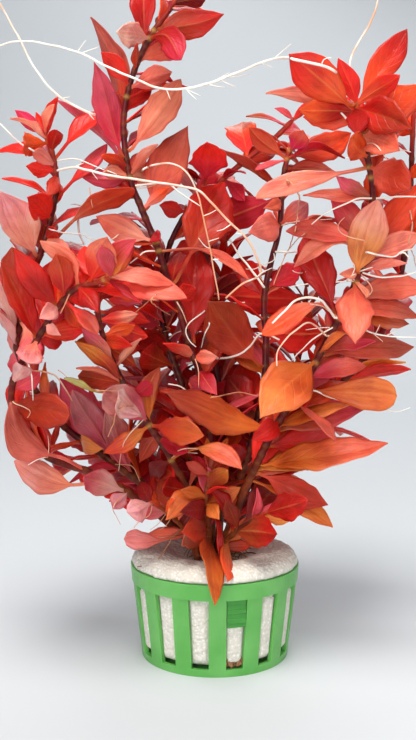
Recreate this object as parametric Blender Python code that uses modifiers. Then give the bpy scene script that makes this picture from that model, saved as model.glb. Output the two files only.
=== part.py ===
"""A bushy red water plant in its net pot.

Sixteen leafy shoots and their white water roots grow out of a foam plug that sits in a slotted plastic pot.
The pot stands on z = 0 with its axis on Z, and the plant is seen from -Y. Lengths are in millimetres until
a mesh is made.
"""

import functools
import itertools
import math
from types import SimpleNamespace

import bmesh
import bpy
import numpy as np
from mathutils import Vector
from mathutils.bvhtree import BVHTree

MM = 0.001

# Driving dimensions of the pot
RIM_DIAMETER = 50.0
FOOT_DIAMETER = 43.5
POT_HEIGHT = 27.5
RIM_BAND = 4.5
RIM_PROUD = 0.5
FOOT_BAND = 2.2
POT_WALL = 1.3
SLATS = 14
SLAT_WIDTH = 4.9
FIRST_SLAT = math.radians(1.7)
FLOOR_SLOTS = 8
FLOOR_SLOT = (9.5, 2.6)
FLOOR_DISC_RADIUS = 9.0
PANEL_HEIGHT = 8.4

# Driving dimensions of the foam plug
GAP = 0.3
FOAM_FOOT = 5.0
FOAM_DOME = 3.6
POCKET_RADIUS = 11.0
POCKET_FLOOR = 23.5

# Driving dimensions of the plant
STEM_ROUNDNESS, ROOT_ROUNDNESS = 1, 0
ROOT_RADIUS = 0.36
PETIOLE = 0.9
BLADE_THICKNESS = 0.8
BLADE_FOLD = 0.12
BLADE_START = 0.12
SLENDERNESS = 0.38

# The largest leaves are solids of their own, and their areas in the view tell how finely the rest are cut
LARGEST_LEAVES = 33
MEDIUM_AREA, SMALL_AREA = 1300, 450
LARGE = SimpleNamespace(shares=(0, 0.13, 0.36, 0.7), ridged=True)
MEDIUM = SimpleNamespace(shares=(0, 0.3, 0.68), ridged=False)
SMALL = SimpleNamespace(shares=(0, 0.42), ridged=False)
BLADE = SimpleNamespace(shares=(0, 0.14, 0.4, 0.7), ridged=False)

# The view in which the plant is laid out: places are pixels of it, and depths are millimetres along Y
VIEW_WIDTH, VIEW_HEIGHT = 416, 740
EYE = Vector((-2.0, -318.0, 118.3))
EYE_PITCH = math.radians(6)
HALF_FIELD = 0.3395
FORWARD = Vector((0, math.cos(EYE_PITCH), -math.sin(EYE_PITCH)))
UPWARD = Vector((0, math.sin(EYE_PITCH), math.cos(EYE_PITCH)))
MM_PER_PIXEL = -EYE.y / math.cos(EYE_PITCH) * HALF_FIELD / (VIEW_HEIGHT / 2)

FRONT, BACK = 1, -1


def shoot(route, depths, thick=(1.2, 0.75)):
    """A stem through pixels of the view, with depths spread evenly along it and its radius at foot and top."""
    return SimpleNamespace(route=route, depths=depths, thick=thick)


SHOOTS = {
    "tall_left": shoot(
        [(210, 548), (212, 520), (212, 480), (210, 440), (208, 400), (197, 365), (187, 338), (178, 305),
         (165, 270), (155, 240), (140, 205), (130, 180), (124, 135), (126, 100), (138, 62), (152, 34),
         (168, 12), (184, -15)],
        (-1.5, -2, -3, -4, -4, -4, -4)),
    "right": shoot(
        [(222, 548), (235, 515), (250, 478), (275, 428), (304, 382), (330, 335), (348, 300), (361, 265),
         (369, 230), (373, 190), (368, 160), (362, 135), (355, 103)],
        (-3.5, -8, -14, -20, -25, -28, -32)),
    "far_left": shoot(
        [(200, 548), (175, 518), (150, 490), (112, 462), (66, 428), (40, 398), (20, 360), (17, 338),
         (28, 290), (45, 240), (56, 195), (57, 180), (53, 155), (45, 132)],
        (0.5, 1.5, 2, 1, -1, -3, -4, -5)),
    "left_bow": shoot(
        [(195, 548), (165, 520), (140, 500), (92, 473), (48, 457), (16, 420), (13, 380), (36, 342),
         (57, 308), (76, 288), (100, 281), (112, 276)],
        (-3.5, -11, -17, -22, -27, -31, -36)),
    "inner_left": shoot(
        [(204, 548), (198, 515), (188, 490), (170, 457), (149, 424), (133, 402), (119, 374), (106, 345),
         (98, 315), (99, 286)],
        (-5, -8, -11, -13, -13, -11, -10), (1.1, 0.7)),
    "middle": shoot(
        [(210, 548), (200, 500), (192, 460), (187, 420), (182, 385), (168, 345), (160, 305), (160, 285),
         (170, 245), (183, 218), (197, 198), (205, 182)],
        (2.5, 5, 9, 12, 14, 14, 13, 12)),
    "back_middle": shoot(
        [(218, 548), (222, 480), (222, 430), (218, 380), (210, 330), (205, 280), (207, 230), (215, 190),
         (225, 177), (246, 160), (275, 138), (295, 118)],
        (5, 10, 16, 20, 21, 20, 20, 18)),
    "back_right": shoot(
        [(225, 548), (240, 480), (255, 430), (264, 385), (266, 340), (264, 300), (272, 258), (277, 240),
         (281, 215), (283, 178), (292, 145), (300, 135)],
        (1, 3, 4, 5, 7, 10, 12, 13, 14)),
    "far_right": shoot(
        [(231, 548), (240, 520), (264, 480), (300, 430), (340, 385), (375, 345), (395, 300), (405, 250), (410, 200),
         (412, 150), (414, 110)],
        (5.5, 10, 15, 19, 20, 19, 17, 14)),
    "low_front": shoot([(209, 548), (208, 520), (206, 498), (209, 474)], (-8, -12, -15, -16), (0.9, 0.6)),
    "low_right": shoot([(221, 548), (238, 530), (254, 520), (268, 512)], (-7.5, -13, -17, -20), (0.9, 0.6)),
    "low_left": shoot([(196, 548), (184, 528), (168, 512), (152, 503)], (-7.5, -12, -17, -21), (0.9, 0.6)),
    "rear_left": shoot(
        [(203, 548), (190, 510), (168, 460), (150, 400), (142, 340), (146, 290)],
        (6, 16, 26, 33, 37, 38), (1.1, 0.7)),
    "rear_right": shoot(
        [(222, 548), (240, 505), (266, 450), (290, 390), (304, 330), (306, 285)],
        (8, 18, 28, 35, 39, 40), (1.1, 0.7)),
    "rear_middle": shoot(
        [(212, 548), (206, 500), (204, 440), (212, 370), (222, 300), (226, 240)],
        (7.5, 19, 31, 39, 43, 44), (1.1, 0.7)),
    "rear_low": shoot([(196, 548), (182, 515), (165, 485), (150, 458)], (4.5, 17, 29, 36), (0.9, 0.6)),
}


def leaf(base, tip, width, side, colour, end=None, via=()):
    """A leaf from base to tip in the view, as wide as it shows there, leaning to the front or the back."""
    return SimpleNamespace(base=base, tip=tip, width=width, side=side, colour=colour, end=end or colour, via=via)


LEAVES = {
    "tall_left": [
        leaf((160, 32), (224, 14), 29, FRONT, "crimson", "salmon"),
        leaf((146, 44), (140, -22), 26, BACK, "dark_red"),
        leaf((150, 39), (117, 32), 24, FRONT, "pale_pink"),
        leaf((150, 38), (181, 60), 26, FRONT, "crimson", "salmon", [(168, 34)]),
        leaf((138, 66), (182, 42), 26, BACK, "red"),
        leaf((126, 94), (101, 52), 18, FRONT, "red", via=[(122, 72)]),
        leaf((131, 92), (172, 72), 20, FRONT, "salmon", "coral"),
        leaf((127, 122), (152, 80), 20, BACK, "red", "dark_red"),
        leaf((123, 122), (91, 17), 23, BACK, "brown_red"),
        leaf((121, 152), (94, 62), 27, FRONT, "crimson_pink", "crimson"),
        leaf((128, 150), (181, 79), 30, FRONT, "dark_red", "salmon"),
        leaf((147, 212), (188, 126), 40, BACK, "brown_red"),
        leaf((172, 285), (223, 182), 50, BACK, "brown_red", "dark_red"),
        leaf((200, 347), (196, 247), 40, BACK, "dark_red"),
        leaf((151, 249), (96, 216), 26, FRONT, "salmon", "coral"),
        leaf((160, 250), (249, 280), 14, FRONT, "red", "salmon", [(197, 249), (225, 260)]),
        leaf((130, 180), (80, 176), 20, BACK, "crimson"),
        leaf((134, 180), (170, 172), 24, BACK, "red", "salmon"),
        leaf((151, 30), (164, -14), 9, BACK, "orange_red"),
        leaf((172, 12), (196, -12), 10, BACK, "orange_red"),
        leaf((175, 10), (206, -2), 16, FRONT, "maroon"),
        leaf((176, 11), (212, 16), 6, FRONT, "pale_pink"),
        leaf((172, 12), (168, 1), 5, FRONT, "crimson_pink"),
        leaf((178, -4), (171, -22), 8, BACK, "red"),
        leaf((182, -12), (186, -30), 8, FRONT, "red"),
        leaf((182, -12), (195, -24), 8, BACK, "orange_red"),
        leaf((135, 67), (137, 43), 7, FRONT, "brown_red"),
        leaf((121, 170), (57, 100), 8, BACK, "crimson_pink"),
        leaf((120, 170), (101, 155), 10, FRONT, "orange_red"),
        leaf((126, 181), (103, 172), 14, FRONT, "salmon"),
        leaf((132, 176), (159, 143), 10, FRONT, "salmon", "pale_pink"),
        leaf((145, 213), (170, 190), 12, FRONT, "orange"),
        leaf((150, 222), (160, 240), 14, FRONT, "crimson"),
        leaf((158, 248), (128, 262), 20, BACK, "dark_red"),
        leaf((184, 325), (214, 318), 20, BACK, "red"),
    ],
    "right": [
        leaf((348, 99), (289, 54), 36, FRONT, "orange_red", "red"),
        leaf((350, 99), (338, 58), 22, FRONT, "red"),
        leaf((362, 92), (407, 29), 30, BACK, "orange_red", "dark_red"),
        leaf((361, 106), (411, 128), 32, FRONT, "orange_red"),
        leaf((358, 101), (400, 75), 24, FRONT, "orange_red", "red"),
        leaf((356, 105), (357, 134), 20, FRONT, "crimson", "brown_red"),
        leaf((350, 103), (299, 110), 21, FRONT, "crimson", "orange"),
        leaf((352, 130), (303, 117), 20, BACK, "orange_red"),
        leaf((366, 170), (351, 137), 22, FRONT, "orange_red"),
        leaf((364, 135), (399, 150), 28, FRONT, "salmon", "coral"),
        leaf((366, 138), (424, 84), 32, BACK, "orange_red"),
        leaf((366, 172), (256, 198), 21, FRONT, "salmon"),
        leaf((373, 168), (411, 189), 32, FRONT, "orange_red", "coral"),
        leaf((370, 272), (378, 199), 34, FRONT, "salmon", "coral"),
        leaf((357, 281), (355, 343), 34, FRONT, "coral"),
        leaf((372, 262), (420, 183), 30, BACK, "orange_red"),
        leaf((335, 315), (306, 233), 32, BACK, "dark_red"),
        leaf((332, 316), (262, 335), 20, FRONT, "salmon", via=[(318, 307)]),
        leaf((325, 335), (268, 330), 40, BACK, "red"),
        leaf((312, 357), (260, 418), 48, FRONT, "orange", "orange_red"),
        leaf((321, 358), (414, 347), 25, BACK, "dark_red", "red"),
        leaf((306, 388), (397, 396), 32, FRONT, "orange", "brown_orange"),
        leaf((270, 429), (167, 393), 34, FRONT, "brown_orange", "orange"),
        leaf((283, 432), (369, 407), 26, BACK, "crimson_pink"),
        leaf((270, 446), (336, 436), 32, BACK, "dark_red"),
        leaf((255, 465), (388, 443), 28, FRONT, "orange", "red"),
        leaf((252, 474), (328, 505), 28, FRONT, "red"),
        leaf((250, 480), (333, 527), 18, FRONT, "orange"),
        leaf((350, 103), (266, 93), 16, BACK, "pale_pink", "salmon"),
        leaf((346, 98), (305, 88), 5, FRONT, "salmon"),
        leaf((368, 197), (303, 195), 12, BACK, "salmon"),
        leaf((368, 196), (336, 176), 14, FRONT, "crimson_pink"),
        leaf((363, 240), (330, 197), 24, BACK, "crimson_pink"),
        leaf((362, 241), (286, 231), 20, BACK, "dark_red"),
        leaf((363, 241), (294, 267), 14, FRONT, "salmon", via=[(333, 243)]),
        leaf((378, 268), (420, 235), 20, BACK, "salmon"),
        leaf((364, 277), (407, 263), 9, FRONT, "salmon"),
        leaf((357, 272), (340, 274), 10, FRONT, "salmon"),
        leaf((364, 279), (367, 297), 6, FRONT, "salmon"),
        leaf((348, 302), (424, 287), 24, BACK, "salmon"),
        leaf((345, 306), (420, 318), 18, BACK, "salmon"),
        leaf((340, 314), (409, 324), 20, BACK, "brown_orange"),
        leaf((322, 352), (376, 341), 12, FRONT, "crimson_pink"),
        leaf((325, 352), (345, 333), 7, FRONT, "orange"),
        leaf((306, 382), (366, 366), 18, FRONT, "salmon"),
        leaf((303, 388), (305, 407), 18, FRONT, "dark_red"),
        leaf((278, 429), (357, 402), 15, FRONT, "brown_orange", "orange"),
        leaf((284, 405), (334, 441), 8, FRONT, "red"),
        leaf((252, 472), (336, 462), 22, BACK, "orange"),
        leaf((278, 425), (252, 440), 20, FRONT, "dark_red"),
    ],
    "far_left": [
        leaf((37, 259), (0, 191), 37, FRONT, "salmon", "coral"),
        leaf((50, 245), (134, 188), 27, FRONT, "brown_orange", "salmon"),
        leaf((54, 222), (27, 197), 28, FRONT, "red"),
        leaf((60, 164), (107, 110), 15, BACK, "red"),
        leaf((32, 316), (12, 247), 34, FRONT, "orange_red", "dark_red"),
        leaf((30, 310), (58, 257), 22, FRONT, "dark_red"),
        leaf((24, 328), (-2, 270), 24, BACK, "dark_red"),
        leaf((110, 444), (60, 378), 32, FRONT, "crimson_pink", "crimson"),
        leaf((97, 461), (11, 400), 34, BACK, "dull_pink", "crimson_pink", [(60, 452)]),
        leaf((41, 131), (16, 110), 12, FRONT, "crimson", "crimson_pink"),
        leaf((40, 132), (10, 119), 8, FRONT, "salmon"),
        leaf((44, 130), (58, 97), 10, BACK, "red"),
        leaf((44, 130), (36, 112), 8, FRONT, "red"),
        leaf((50, 142), (54, 104), 8, FRONT, "salmon"),
        leaf((55, 160), (57, 130), 14, FRONT, "dark_red"),
        leaf((52, 153), (24, 143), 22, FRONT, "orange_red"),
        leaf((52, 163), (33, 151), 14, FRONT, "salmon"),
        leaf((52, 163), (-4, 152), 11, BACK, "red"),
        leaf((57, 166), (26, 166), 16, FRONT, "red"),
        leaf((56, 168), (47, 197), 14, FRONT, "brown_red"),
        leaf((54, 196), (2, 178), 6, FRONT, "red", via=[(30, 186)]),
        leaf((58, 204), (107, 144), 14, BACK, "salmon", "red"),
        leaf((50, 245), (56, 228), 14, FRONT, "dark_red"),
        leaf((46, 243), (71, 256), 14, FRONT, "salmon"),
        leaf((46, 290), (38, 250), 14, BACK, "red"),
        leaf((20, 335), (-4, 275), 12, FRONT, "dull_pink"),
        leaf((16, 350), (-2, 310), 10, FRONT, "dull_pink"),
        leaf((20, 335), (36, 365), 24, FRONT, "salmon"),
        leaf((20, 362), (14, 394), 17, FRONT, "crimson_pink"),
        leaf((115, 455), (84, 392), 18, BACK, "crimson"),
        leaf((133, 475), (106, 398), 26, FRONT, "pale_pink", "crimson_pink"),
        leaf((90, 448), (103, 449), 16, FRONT, "orange"),
        leaf((50, 410), (45, 362), 8, BACK, "salmon"),
    ],
    "left_bow": [
        leaf((84, 284), (107, 237), 30, FRONT, "orange_red"),
        leaf((84, 286), (187, 298), 22, FRONT, "red", "crimson_pink"),
        leaf((104, 278), (101, 246), 16, FRONT, "crimson_pink"),
        leaf((112, 277), (134, 243), 16, BACK, "orange", "dark_red"),
        leaf((112, 277), (173, 285), 14, BACK, "salmon", "orange"),
        leaf((98, 282), (141, 304), 8, FRONT, "crimson_pink"),
        leaf((64, 298), (98, 335), 15, FRONT, "salmon", "orange"),
        leaf((60, 303), (46, 341), 22, FRONT, "brown_red"),
        leaf((78, 287), (98, 312), 18, FRONT, "dark_red"),
        leaf((20, 398), (70, 415), 32, FRONT, "brown_red", "red"),
        leaf((40, 336), (43, 300), 20, FRONT, "crimson_pink"),
        leaf((14, 392), (40, 372), 18, BACK, "crimson_pink"),
        leaf((90, 472), (14, 461), 30, FRONT, "salmon", "dull_pink"),
        leaf((133, 496), (83, 477), 26, FRONT, "crimson_pink", "red"),
        leaf((136, 498), (113, 509), 16, FRONT, "red"),
        leaf((48, 457), (24, 440), 16, FRONT, "dull_pink"),
    ],
    "inner_left": [
        leaf((149, 424), (160, 367), 26, BACK, "brown_orange", "salmon"),
        leaf((152, 425), (204, 436), 26, FRONT, "salmon", "red"),
        leaf((173, 460), (242, 467), 17, FRONT, "orange", "brown_orange", [(206, 450)]),
        leaf((160, 440), (188, 452), 18, FRONT, "red", "salmon"),
        leaf((113, 366), (82, 328), 14, FRONT, "crimson_pink"),
        leaf((121, 380), (75, 341), 12, FRONT, "brown_orange"),
        leaf((110, 352), (88, 362), 20, FRONT, "dark_red", "brown_red"),
        leaf((118, 374), (76, 371), 8, FRONT, "crimson_pink"),
        leaf((115, 367), (141, 338), 8, FRONT, "salmon"),
        leaf((99, 300), (116, 288), 12, FRONT, "dark_red"),
        leaf((99, 288), (84, 262), 14, BACK, "dark_red"),
        leaf((103, 318), (138, 314), 14, FRONT, "red", "salmon"),
        leaf((103, 332), (135, 325), 14, FRONT, "orange_red"),
        leaf((108, 338), (132, 346), 14, FRONT, "orange_red", "red"),
        leaf((101, 325), (72, 312), 16, BACK, "red"),
        leaf((133, 402), (106, 392), 22, BACK, "brown_red"),
        leaf((137, 410), (103, 430), 16, FRONT, "orange"),
        leaf((180, 475), (150, 470), 24, BACK, "brown_red"),
        leaf((190, 492), (163, 486), 20, FRONT, "dark_red"),
        leaf((130, 396), (152, 384), 16, FRONT, "crimson"),
    ],
    "middle": [
        leaf((205, 186), (207, 142), 36, FRONT, "red"),
        leaf((196, 196), (161, 157), 14, FRONT, "pale_pink"),
        leaf((168, 345), (215, 358), 16, FRONT, "salmon"),
        leaf((169, 348), (137, 350), 28, FRONT, "dark_red"),
        leaf((162, 312), (128, 322), 26, FRONT, "crimson_pink"),
        leaf((178, 365), (222, 335), 28, BACK, "dark_red", "red"),
        leaf((187, 420), (146, 396), 26, BACK, "dark_red"),
        leaf((187, 420), (228, 392), 26, BACK, "crimson"),
        leaf((160, 285), (126, 252), 24, BACK, "dark_red"),
        leaf((164, 265), (208, 240), 26, BACK, "dark_red", "red"),
        leaf((192, 458), (160, 452), 24, FRONT, "dark_red"),
        leaf((194, 470), (232, 450), 24, BACK, "brown_red"),
        leaf((186, 214), (160, 205), 18, BACK, "red"),
    ],
    "back_middle": [
        leaf((215, 303), (300, 298), 38, BACK, "red"),
        leaf((244, 160), (243, 122), 36, BACK, "red", "brown_orange"),
        leaf((207, 303), (248, 276), 18, FRONT, "maroon"),
        leaf((219, 182), (245, 201), 16, FRONT, "crimson"),
        leaf((225, 178), (246, 173), 5, FRONT, "crimson"),
        leaf((288, 124), (246, 116), 5, FRONT, "crimson_pink", "brown_orange"),
        leaf((293, 120), (275, 108), 6, FRONT, "crimson_pink"),
        leaf((294, 119), (310, 100), 8, BACK, "red"),
        leaf((206, 240), (232, 215), 22, BACK, "dark_red"),
        leaf((206, 245), (178, 222), 22, BACK, "red"),
        leaf((219, 388), (192, 368), 24, BACK, "dark_red"),
        leaf((220, 392), (256, 368), 24, BACK, "dark_red"),
        leaf((222, 445), (196, 430), 22, BACK, "brown_red"),
    ],
    "back_right": [
        leaf((264, 372), (208, 301), 55, FRONT, "brown_orange", "orange_red"),
        leaf((275, 200), (204, 231), 34, BACK, "crimson", "dark_red"),
        leaf((282, 228), (249, 232), 30, FRONT, "salmon", "orange"),
        leaf((286, 160), (351, 133), 30, BACK, "orange_red"),
        leaf((284, 163), (249, 127), 20, FRONT, "brown_red"),
        leaf((290, 150), (303, 130), 22, FRONT, "crimson_pink"),
        leaf((282, 163), (255, 170), 5, FRONT, "crimson_pink"),
        leaf((282, 185), (216, 147), 12, BACK, "brown_red", "salmon"),
        leaf((284, 168), (336, 172), 20, BACK, "brown_orange"),
        leaf((288, 155), (345, 158), 8, FRONT, "crimson", "crimson_pink", [(315, 150)]),
        leaf((282, 200), (264, 208), 13, FRONT, "salmon"),
        leaf((280, 230), (308, 203), 22, FRONT, "salmon", "crimson_pink"),
        leaf((262, 410), (212, 385), 30, BACK, "crimson"),
        leaf((262, 400), (238, 365), 28, BACK, "dark_red"),
        leaf((266, 345), (300, 318), 24, BACK, "dark_red"),
        leaf((266, 295), (240, 262), 24, BACK, "dark_red"),
        leaf((268, 285), (302, 262), 24, BACK, "crimson"),
        leaf((246, 460), (218, 448), 20, FRONT, "dark_red"),
        leaf((245, 465), (282, 455), 22, BACK, "brown_red"),
    ],
    "far_right": [
        leaf((405, 250), (384, 222), 18, BACK, "crimson"),
        leaf((406, 245), (424, 215), 16, FRONT, "orange_red"),
        leaf((411, 190), (394, 162), 14, BACK, "red"),
        leaf((411, 185), (426, 160), 14, FRONT, "orange_red"),
        leaf((414, 112), (400, 92), 12, FRONT, "orange_red"),
        leaf((414, 112), (426, 84), 14, BACK, "red"),
        leaf((412, 140), (396, 128), 12, BACK, "orange_red"),
        leaf((352, 372), (406, 362), 8, FRONT, "orange"),
        leaf((345, 382), (411, 369), 12, FRONT, "red"),
        leaf((375, 345), (346, 322), 22, BACK, "dark_red"),
        leaf((340, 386), (318, 352), 22, BACK, "crimson"),
        leaf((300, 430), (280, 396), 22, BACK, "dark_red"),
        leaf((302, 428), (338, 420), 20, FRONT, "brown_red"),
    ],
    "low_front": [
        leaf((209, 478), (208, 438), 8, FRONT, "orange"),
        leaf((206, 490), (228, 470), 18, FRONT, "brown_orange"),
        leaf((207, 505), (241, 487), 18, BACK, "orange"),
        leaf((208, 502), (219, 519), 15, FRONT, "orange_red"),
        leaf((206, 498), (181, 490), 14, FRONT, "orange_red"),
        leaf((208, 478), (186, 462), 12, BACK, "brown_red"),
        leaf((208, 530), (182, 532), 26, FRONT, "red"),
        leaf((209, 540), (215, 605), 19, FRONT, "brown_orange", "orange", [(212, 562)]),
        leaf((210, 528), (222, 565), 5, FRONT, "dull_pink"),
        leaf((207, 512), (180, 512), 20, FRONT, "dark_red"),
    ],
    "low_right": [
        leaf((240, 528), (286, 478), 34, BACK, "maroon"),
        leaf((258, 516), (308, 500), 26, FRONT, "dull_pink", "crimson_pink"),
        leaf((262, 515), (292, 519), 13, FRONT, "orange"),
        leaf((232, 536), (277, 534), 30, FRONT, "red"),
        leaf((225, 544), (229, 601), 16, FRONT, "orange", "brown_orange", [(226, 564)]),
        leaf((240, 528), (226, 500), 16, FRONT, "brown_orange"),
    ],
    "low_left": [
        leaf((186, 530), (124, 539), 20, FRONT, "dull_pink", via=[(160, 538)]),
        leaf((152, 503), (127, 512), 24, FRONT, "pale_pink"),
        leaf((165, 510), (137, 519), 9, FRONT, "crimson_pink"),
        leaf((172, 515), (162, 536), 18, FRONT, "orange"),
        leaf((172, 514), (160, 480), 20, BACK, "brown_red"),
        leaf((154, 504), (140, 482), 16, BACK, "dark_red"),
        leaf((186, 530), (200, 505), 16, FRONT, "brown_orange"),
    ],
}

# Shoots at the back bear pairs of opposite leaves, each pair turned a quarter round from the last
PAIRED = {
    "rear_left": ((0.36, 0.52, 0.67, 0.8, 0.91, 0.99), 20, "dark_red"),
    "rear_right": ((0.36, 0.52, 0.67, 0.8, 0.91, 0.99), 70, "brown_red"),
    "rear_middle": ((0.3, 0.45, 0.6, 0.73, 0.84, 0.93, 0.99), 35, "dark_red"),
    "rear_low": ((0.4, 0.62, 0.82, 0.98), 10, "crimson"),
}
PAIR_LENGTH = (31, 17)
PAIR_RISE = (0.25, 0.95)


def root(shoot_name, route, depths):
    """A water root that leaves a stem at the route's first pixel."""
    return SimpleNamespace(shoot=shoot_name, route=route, depths=depths)


ROOTS = {
    "root_long_top": root(
        "right",
        [(355, 106), (347, 84), (335, 70), (315, 65), (300, 61), (280, 58), (255, 65), (226, 78), (200, 86),
         (170, 90), (148, 84), (110, 68), (77, 52), (40, 43), (20, 41), (-6, 47)],
        (-33, -38, -34, -30, -26, -20, -15)),
    "root_high_left": root(
        "tall_left",
        [(124, 126), (105, 118), (88, 112), (60, 97), (40, 76), (30, 60), (20, 40), (0, 4)],
        (-4, -12, -13, -12)),
    "root_upper_left": root(
        "far_left", [(55, 165), (40, 155), (20, 143), (10, 134), (0, 124)], (-4, -9, -12, -12)),
    "root_crown": root(
        "right", [(356, 108), (349, 80), (352, 54), (362, 38), (372, 20), (380, -6)], (-33, -31, -27, -24)),
    "root_across": root(
        "far_left",
        [(57, 172), (75, 167), (90, 171), (120, 177), (150, 181), (177, 186), (196, 189), (213, 204),
         (230, 223), (250, 243), (260, 270), (256, 279), (240, 285), (226, 298)],
        (-4, -16, -22, -25, -26, -26)),
    "root_hanging": root(
        "tall_left",
        [(130, 178), (148, 167), (167, 163), (184, 168), (196, 190), (204, 222), (213, 265), (219, 300)],
        (-4, -12, -16, -18, -19)),
    "root_right_arc": root(
        "right", [(339, 318), (325, 304), (315, 298), (300, 298), (286, 310), (272, 323)], (-21, -27, -29)),
    "root_right_low": root(
        "right", [(332, 332), (310, 323), (296, 330), (283, 342), (274, 358), (277, 366)], (-20, -30, -32)),
    "root_inner": root(
        "middle",
        [(176, 368), (195, 362), (215, 358), (236, 356), (256, 341), (262, 333), (280, 340)],
        (14, 4, -7, -10)),
}

COLOURS = {
    "red": (0.62, 0.03, 0.02),
    "dark_red": (0.36, 0.015, 0.012),
    "orange_red": (0.66, 0.07, 0.02),
    "orange": (0.80, 0.17, 0.04),
    "salmon": (0.82, 0.25, 0.16),
    "coral": (0.78, 0.17, 0.10),
    "pale_pink": (0.84, 0.40, 0.35),
    "dull_pink": (0.60, 0.19, 0.18),
    "crimson": (0.42, 0.012, 0.03),
    "crimson_pink": (0.56, 0.08, 0.11),
    "brown_red": (0.34, 0.04, 0.015),
    "brown_orange": (0.48, 0.10, 0.02),
    "maroon": (0.12, 0.008, 0.01),
}
STEM_COLOUR = (0.16, 0.02, 0.012)
ROOT_COLOUR = (0.80, 0.74, 0.62)
POT_COLOUR = (0.14, 0.46, 0.11)
FOAM_COLOUR = (0.80, 0.77, 0.70)

# How a leaf gives way to what is already there: its tip moves in depth, its base slides, it shrinks
TIP_SHIFTS = (0, *(sign * step * 1.5 for step in range(1, 15) for sign in (1, -1)))
BASE_SLIDES = (0, 1.3, -1.3, 2.6, -2.6)
SHRINKS = (1, 0.85, 0.7)
CLEARANCE = 0.2


def seen(u, v, depth):
    """The point that shows at pixel (u, v) of the view and lies at y = depth."""
    across = (u - VIEW_WIDTH / 2) / (VIEW_HEIGHT / 2) * HALF_FIELD
    up = (VIEW_HEIGHT / 2 - v) / (VIEW_HEIGHT / 2) * HALF_FIELD
    ray = FORWARD + Vector((across, 0, 0)) + UPWARD * up
    return EYE + ray * ((depth - EYE.y) / ray.y)


def pixel_of(point):
    """Where the point shows in the view."""
    away = point - EYE
    scale = VIEW_HEIGHT / 2 / HALF_FIELD / away.dot(FORWARD)
    return VIEW_WIDTH / 2 + away.x * scale, VIEW_HEIGHT / 2 - away.dot(UPWARD) * scale


def spread(values, share):
    """The value at this share of the way along a row of values."""
    return float(np.interp(share * (len(values) - 1), range(len(values)), values))


def smooth_route(points, count):
    """Points spaced evenly along a smooth curve through the given ones."""
    ends = [2 * points[0] - points[1], *points, 2 * points[-1] - points[-2]]
    steps = 12
    fine = []
    for before, start, end, after in zip(ends, ends[1:], ends[2:], ends[3:]):
        for step in range(steps):
            t = step / steps
            bend = 2 * before - 5 * start + 4 * end - after
            twist = 3 * start - before - 3 * end + after
            fine.append(start + ((end - before) * t + bend * t**2 + twist * t**3) / 2)
    fine.append(points[-1])
    fine = np.array(fine)
    reach = np.concatenate([[0], np.cumsum(np.linalg.norm(np.diff(fine, axis=0), axis=1))])
    places = np.linspace(0, reach[-1], count)
    return [Vector(np.interp(place, reach, fine[:, axis]) for axis in range(3)) for place in places]


def along(points, share):
    """The point at this share of an evenly spaced route, and the route's direction there."""
    place = min(max(share, 0), 1) * (len(points) - 1)
    before = min(int(place), len(points) - 2)
    step = points[before + 1] - points[before]
    return points[before] + step * (place - before), step.normalized()


def depth_route(route, depths):
    """A route's pixels as points, with the depths spread evenly along it."""
    last = len(route) - 1
    return [seen(u, v, spread(depths, index / last)) for index, (u, v) in enumerate(route)]


def grown_shoot(name):
    """The stem's centre line, from the pocket's floor to the crown, with its radius at any share of it."""
    given = SHOOTS[name]
    points = depth_route(given.route, given.depths)
    foot = Vector((points[0].x, points[0].y, POCKET_FLOOR + 1))
    line = smooth_route([foot, *points], 4 * len(points))
    return SimpleNamespace(name=name, line=line, thick=given.thick)


def stem_radius(stem, share):
    return stem.thick[0] + (stem.thick[1] - stem.thick[0]) * share


def share_nearest(stem, pixel):
    """The share of the stem's length that shows nearest to a pixel of the view."""
    spots = np.array([pixel_of(point) for point in stem.line])
    nearest = np.argmin(np.linalg.norm(spots - np.array(pixel), axis=1))
    return nearest / (len(stem.line) - 1)


def tube(points, radii, sides=6):
    """The corners and faces of a tube, for telling what meets it."""
    corners = []
    for index, (point, radius) in enumerate(zip(points, radii)):
        heading = (points[min(index + 1, len(points) - 1)] - points[max(index - 1, 0)]).normalized()
        across = heading.orthogonal().normalized()
        other = heading.cross(across)
        for side in range(sides):
            angle = 2 * math.pi * side / sides
            corners.append(point + (across * math.cos(angle) + other * math.sin(angle)) * radius)
    rows = range(len(points) - 1)
    faces = [
        (row * sides + side, row * sides + (side + 1) % sides,
         (row + 1) * sides + (side + 1) % sides, (row + 1) * sides + side)
        for row in rows for side in range(sides)
    ]
    return corners, faces


def blade_share(share):
    """The blade's width at this share of the leaf's length, as a share of its full width."""
    t = max(share - BLADE_START, 0) / (1 - BLADE_START)
    rise, fall = 0.85, 1.0
    widest = rise / (rise + fall)
    return (t / widest) ** rise * ((1 - t) / (1 - widest)) ** fall


def midrib(form, count=13):
    if form.via:
        return smooth_route([form.base, *form.via, form.tip], count)
    middle = (form.base + form.tip) / 2 + form.up * form.bend * (form.tip - form.base).length
    return smooth_route([form.base, middle, form.tip], count)


def leaf_frame(form, rib, share):
    """The midrib's point, and the leaf's side and upper directions there."""
    point, heading = along(rib, share)
    side = (form.across - heading * form.across.dot(heading)).normalized()
    up = side.cross(heading)
    return point, side, up if up.dot(form.up) > 0 else -up


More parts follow.
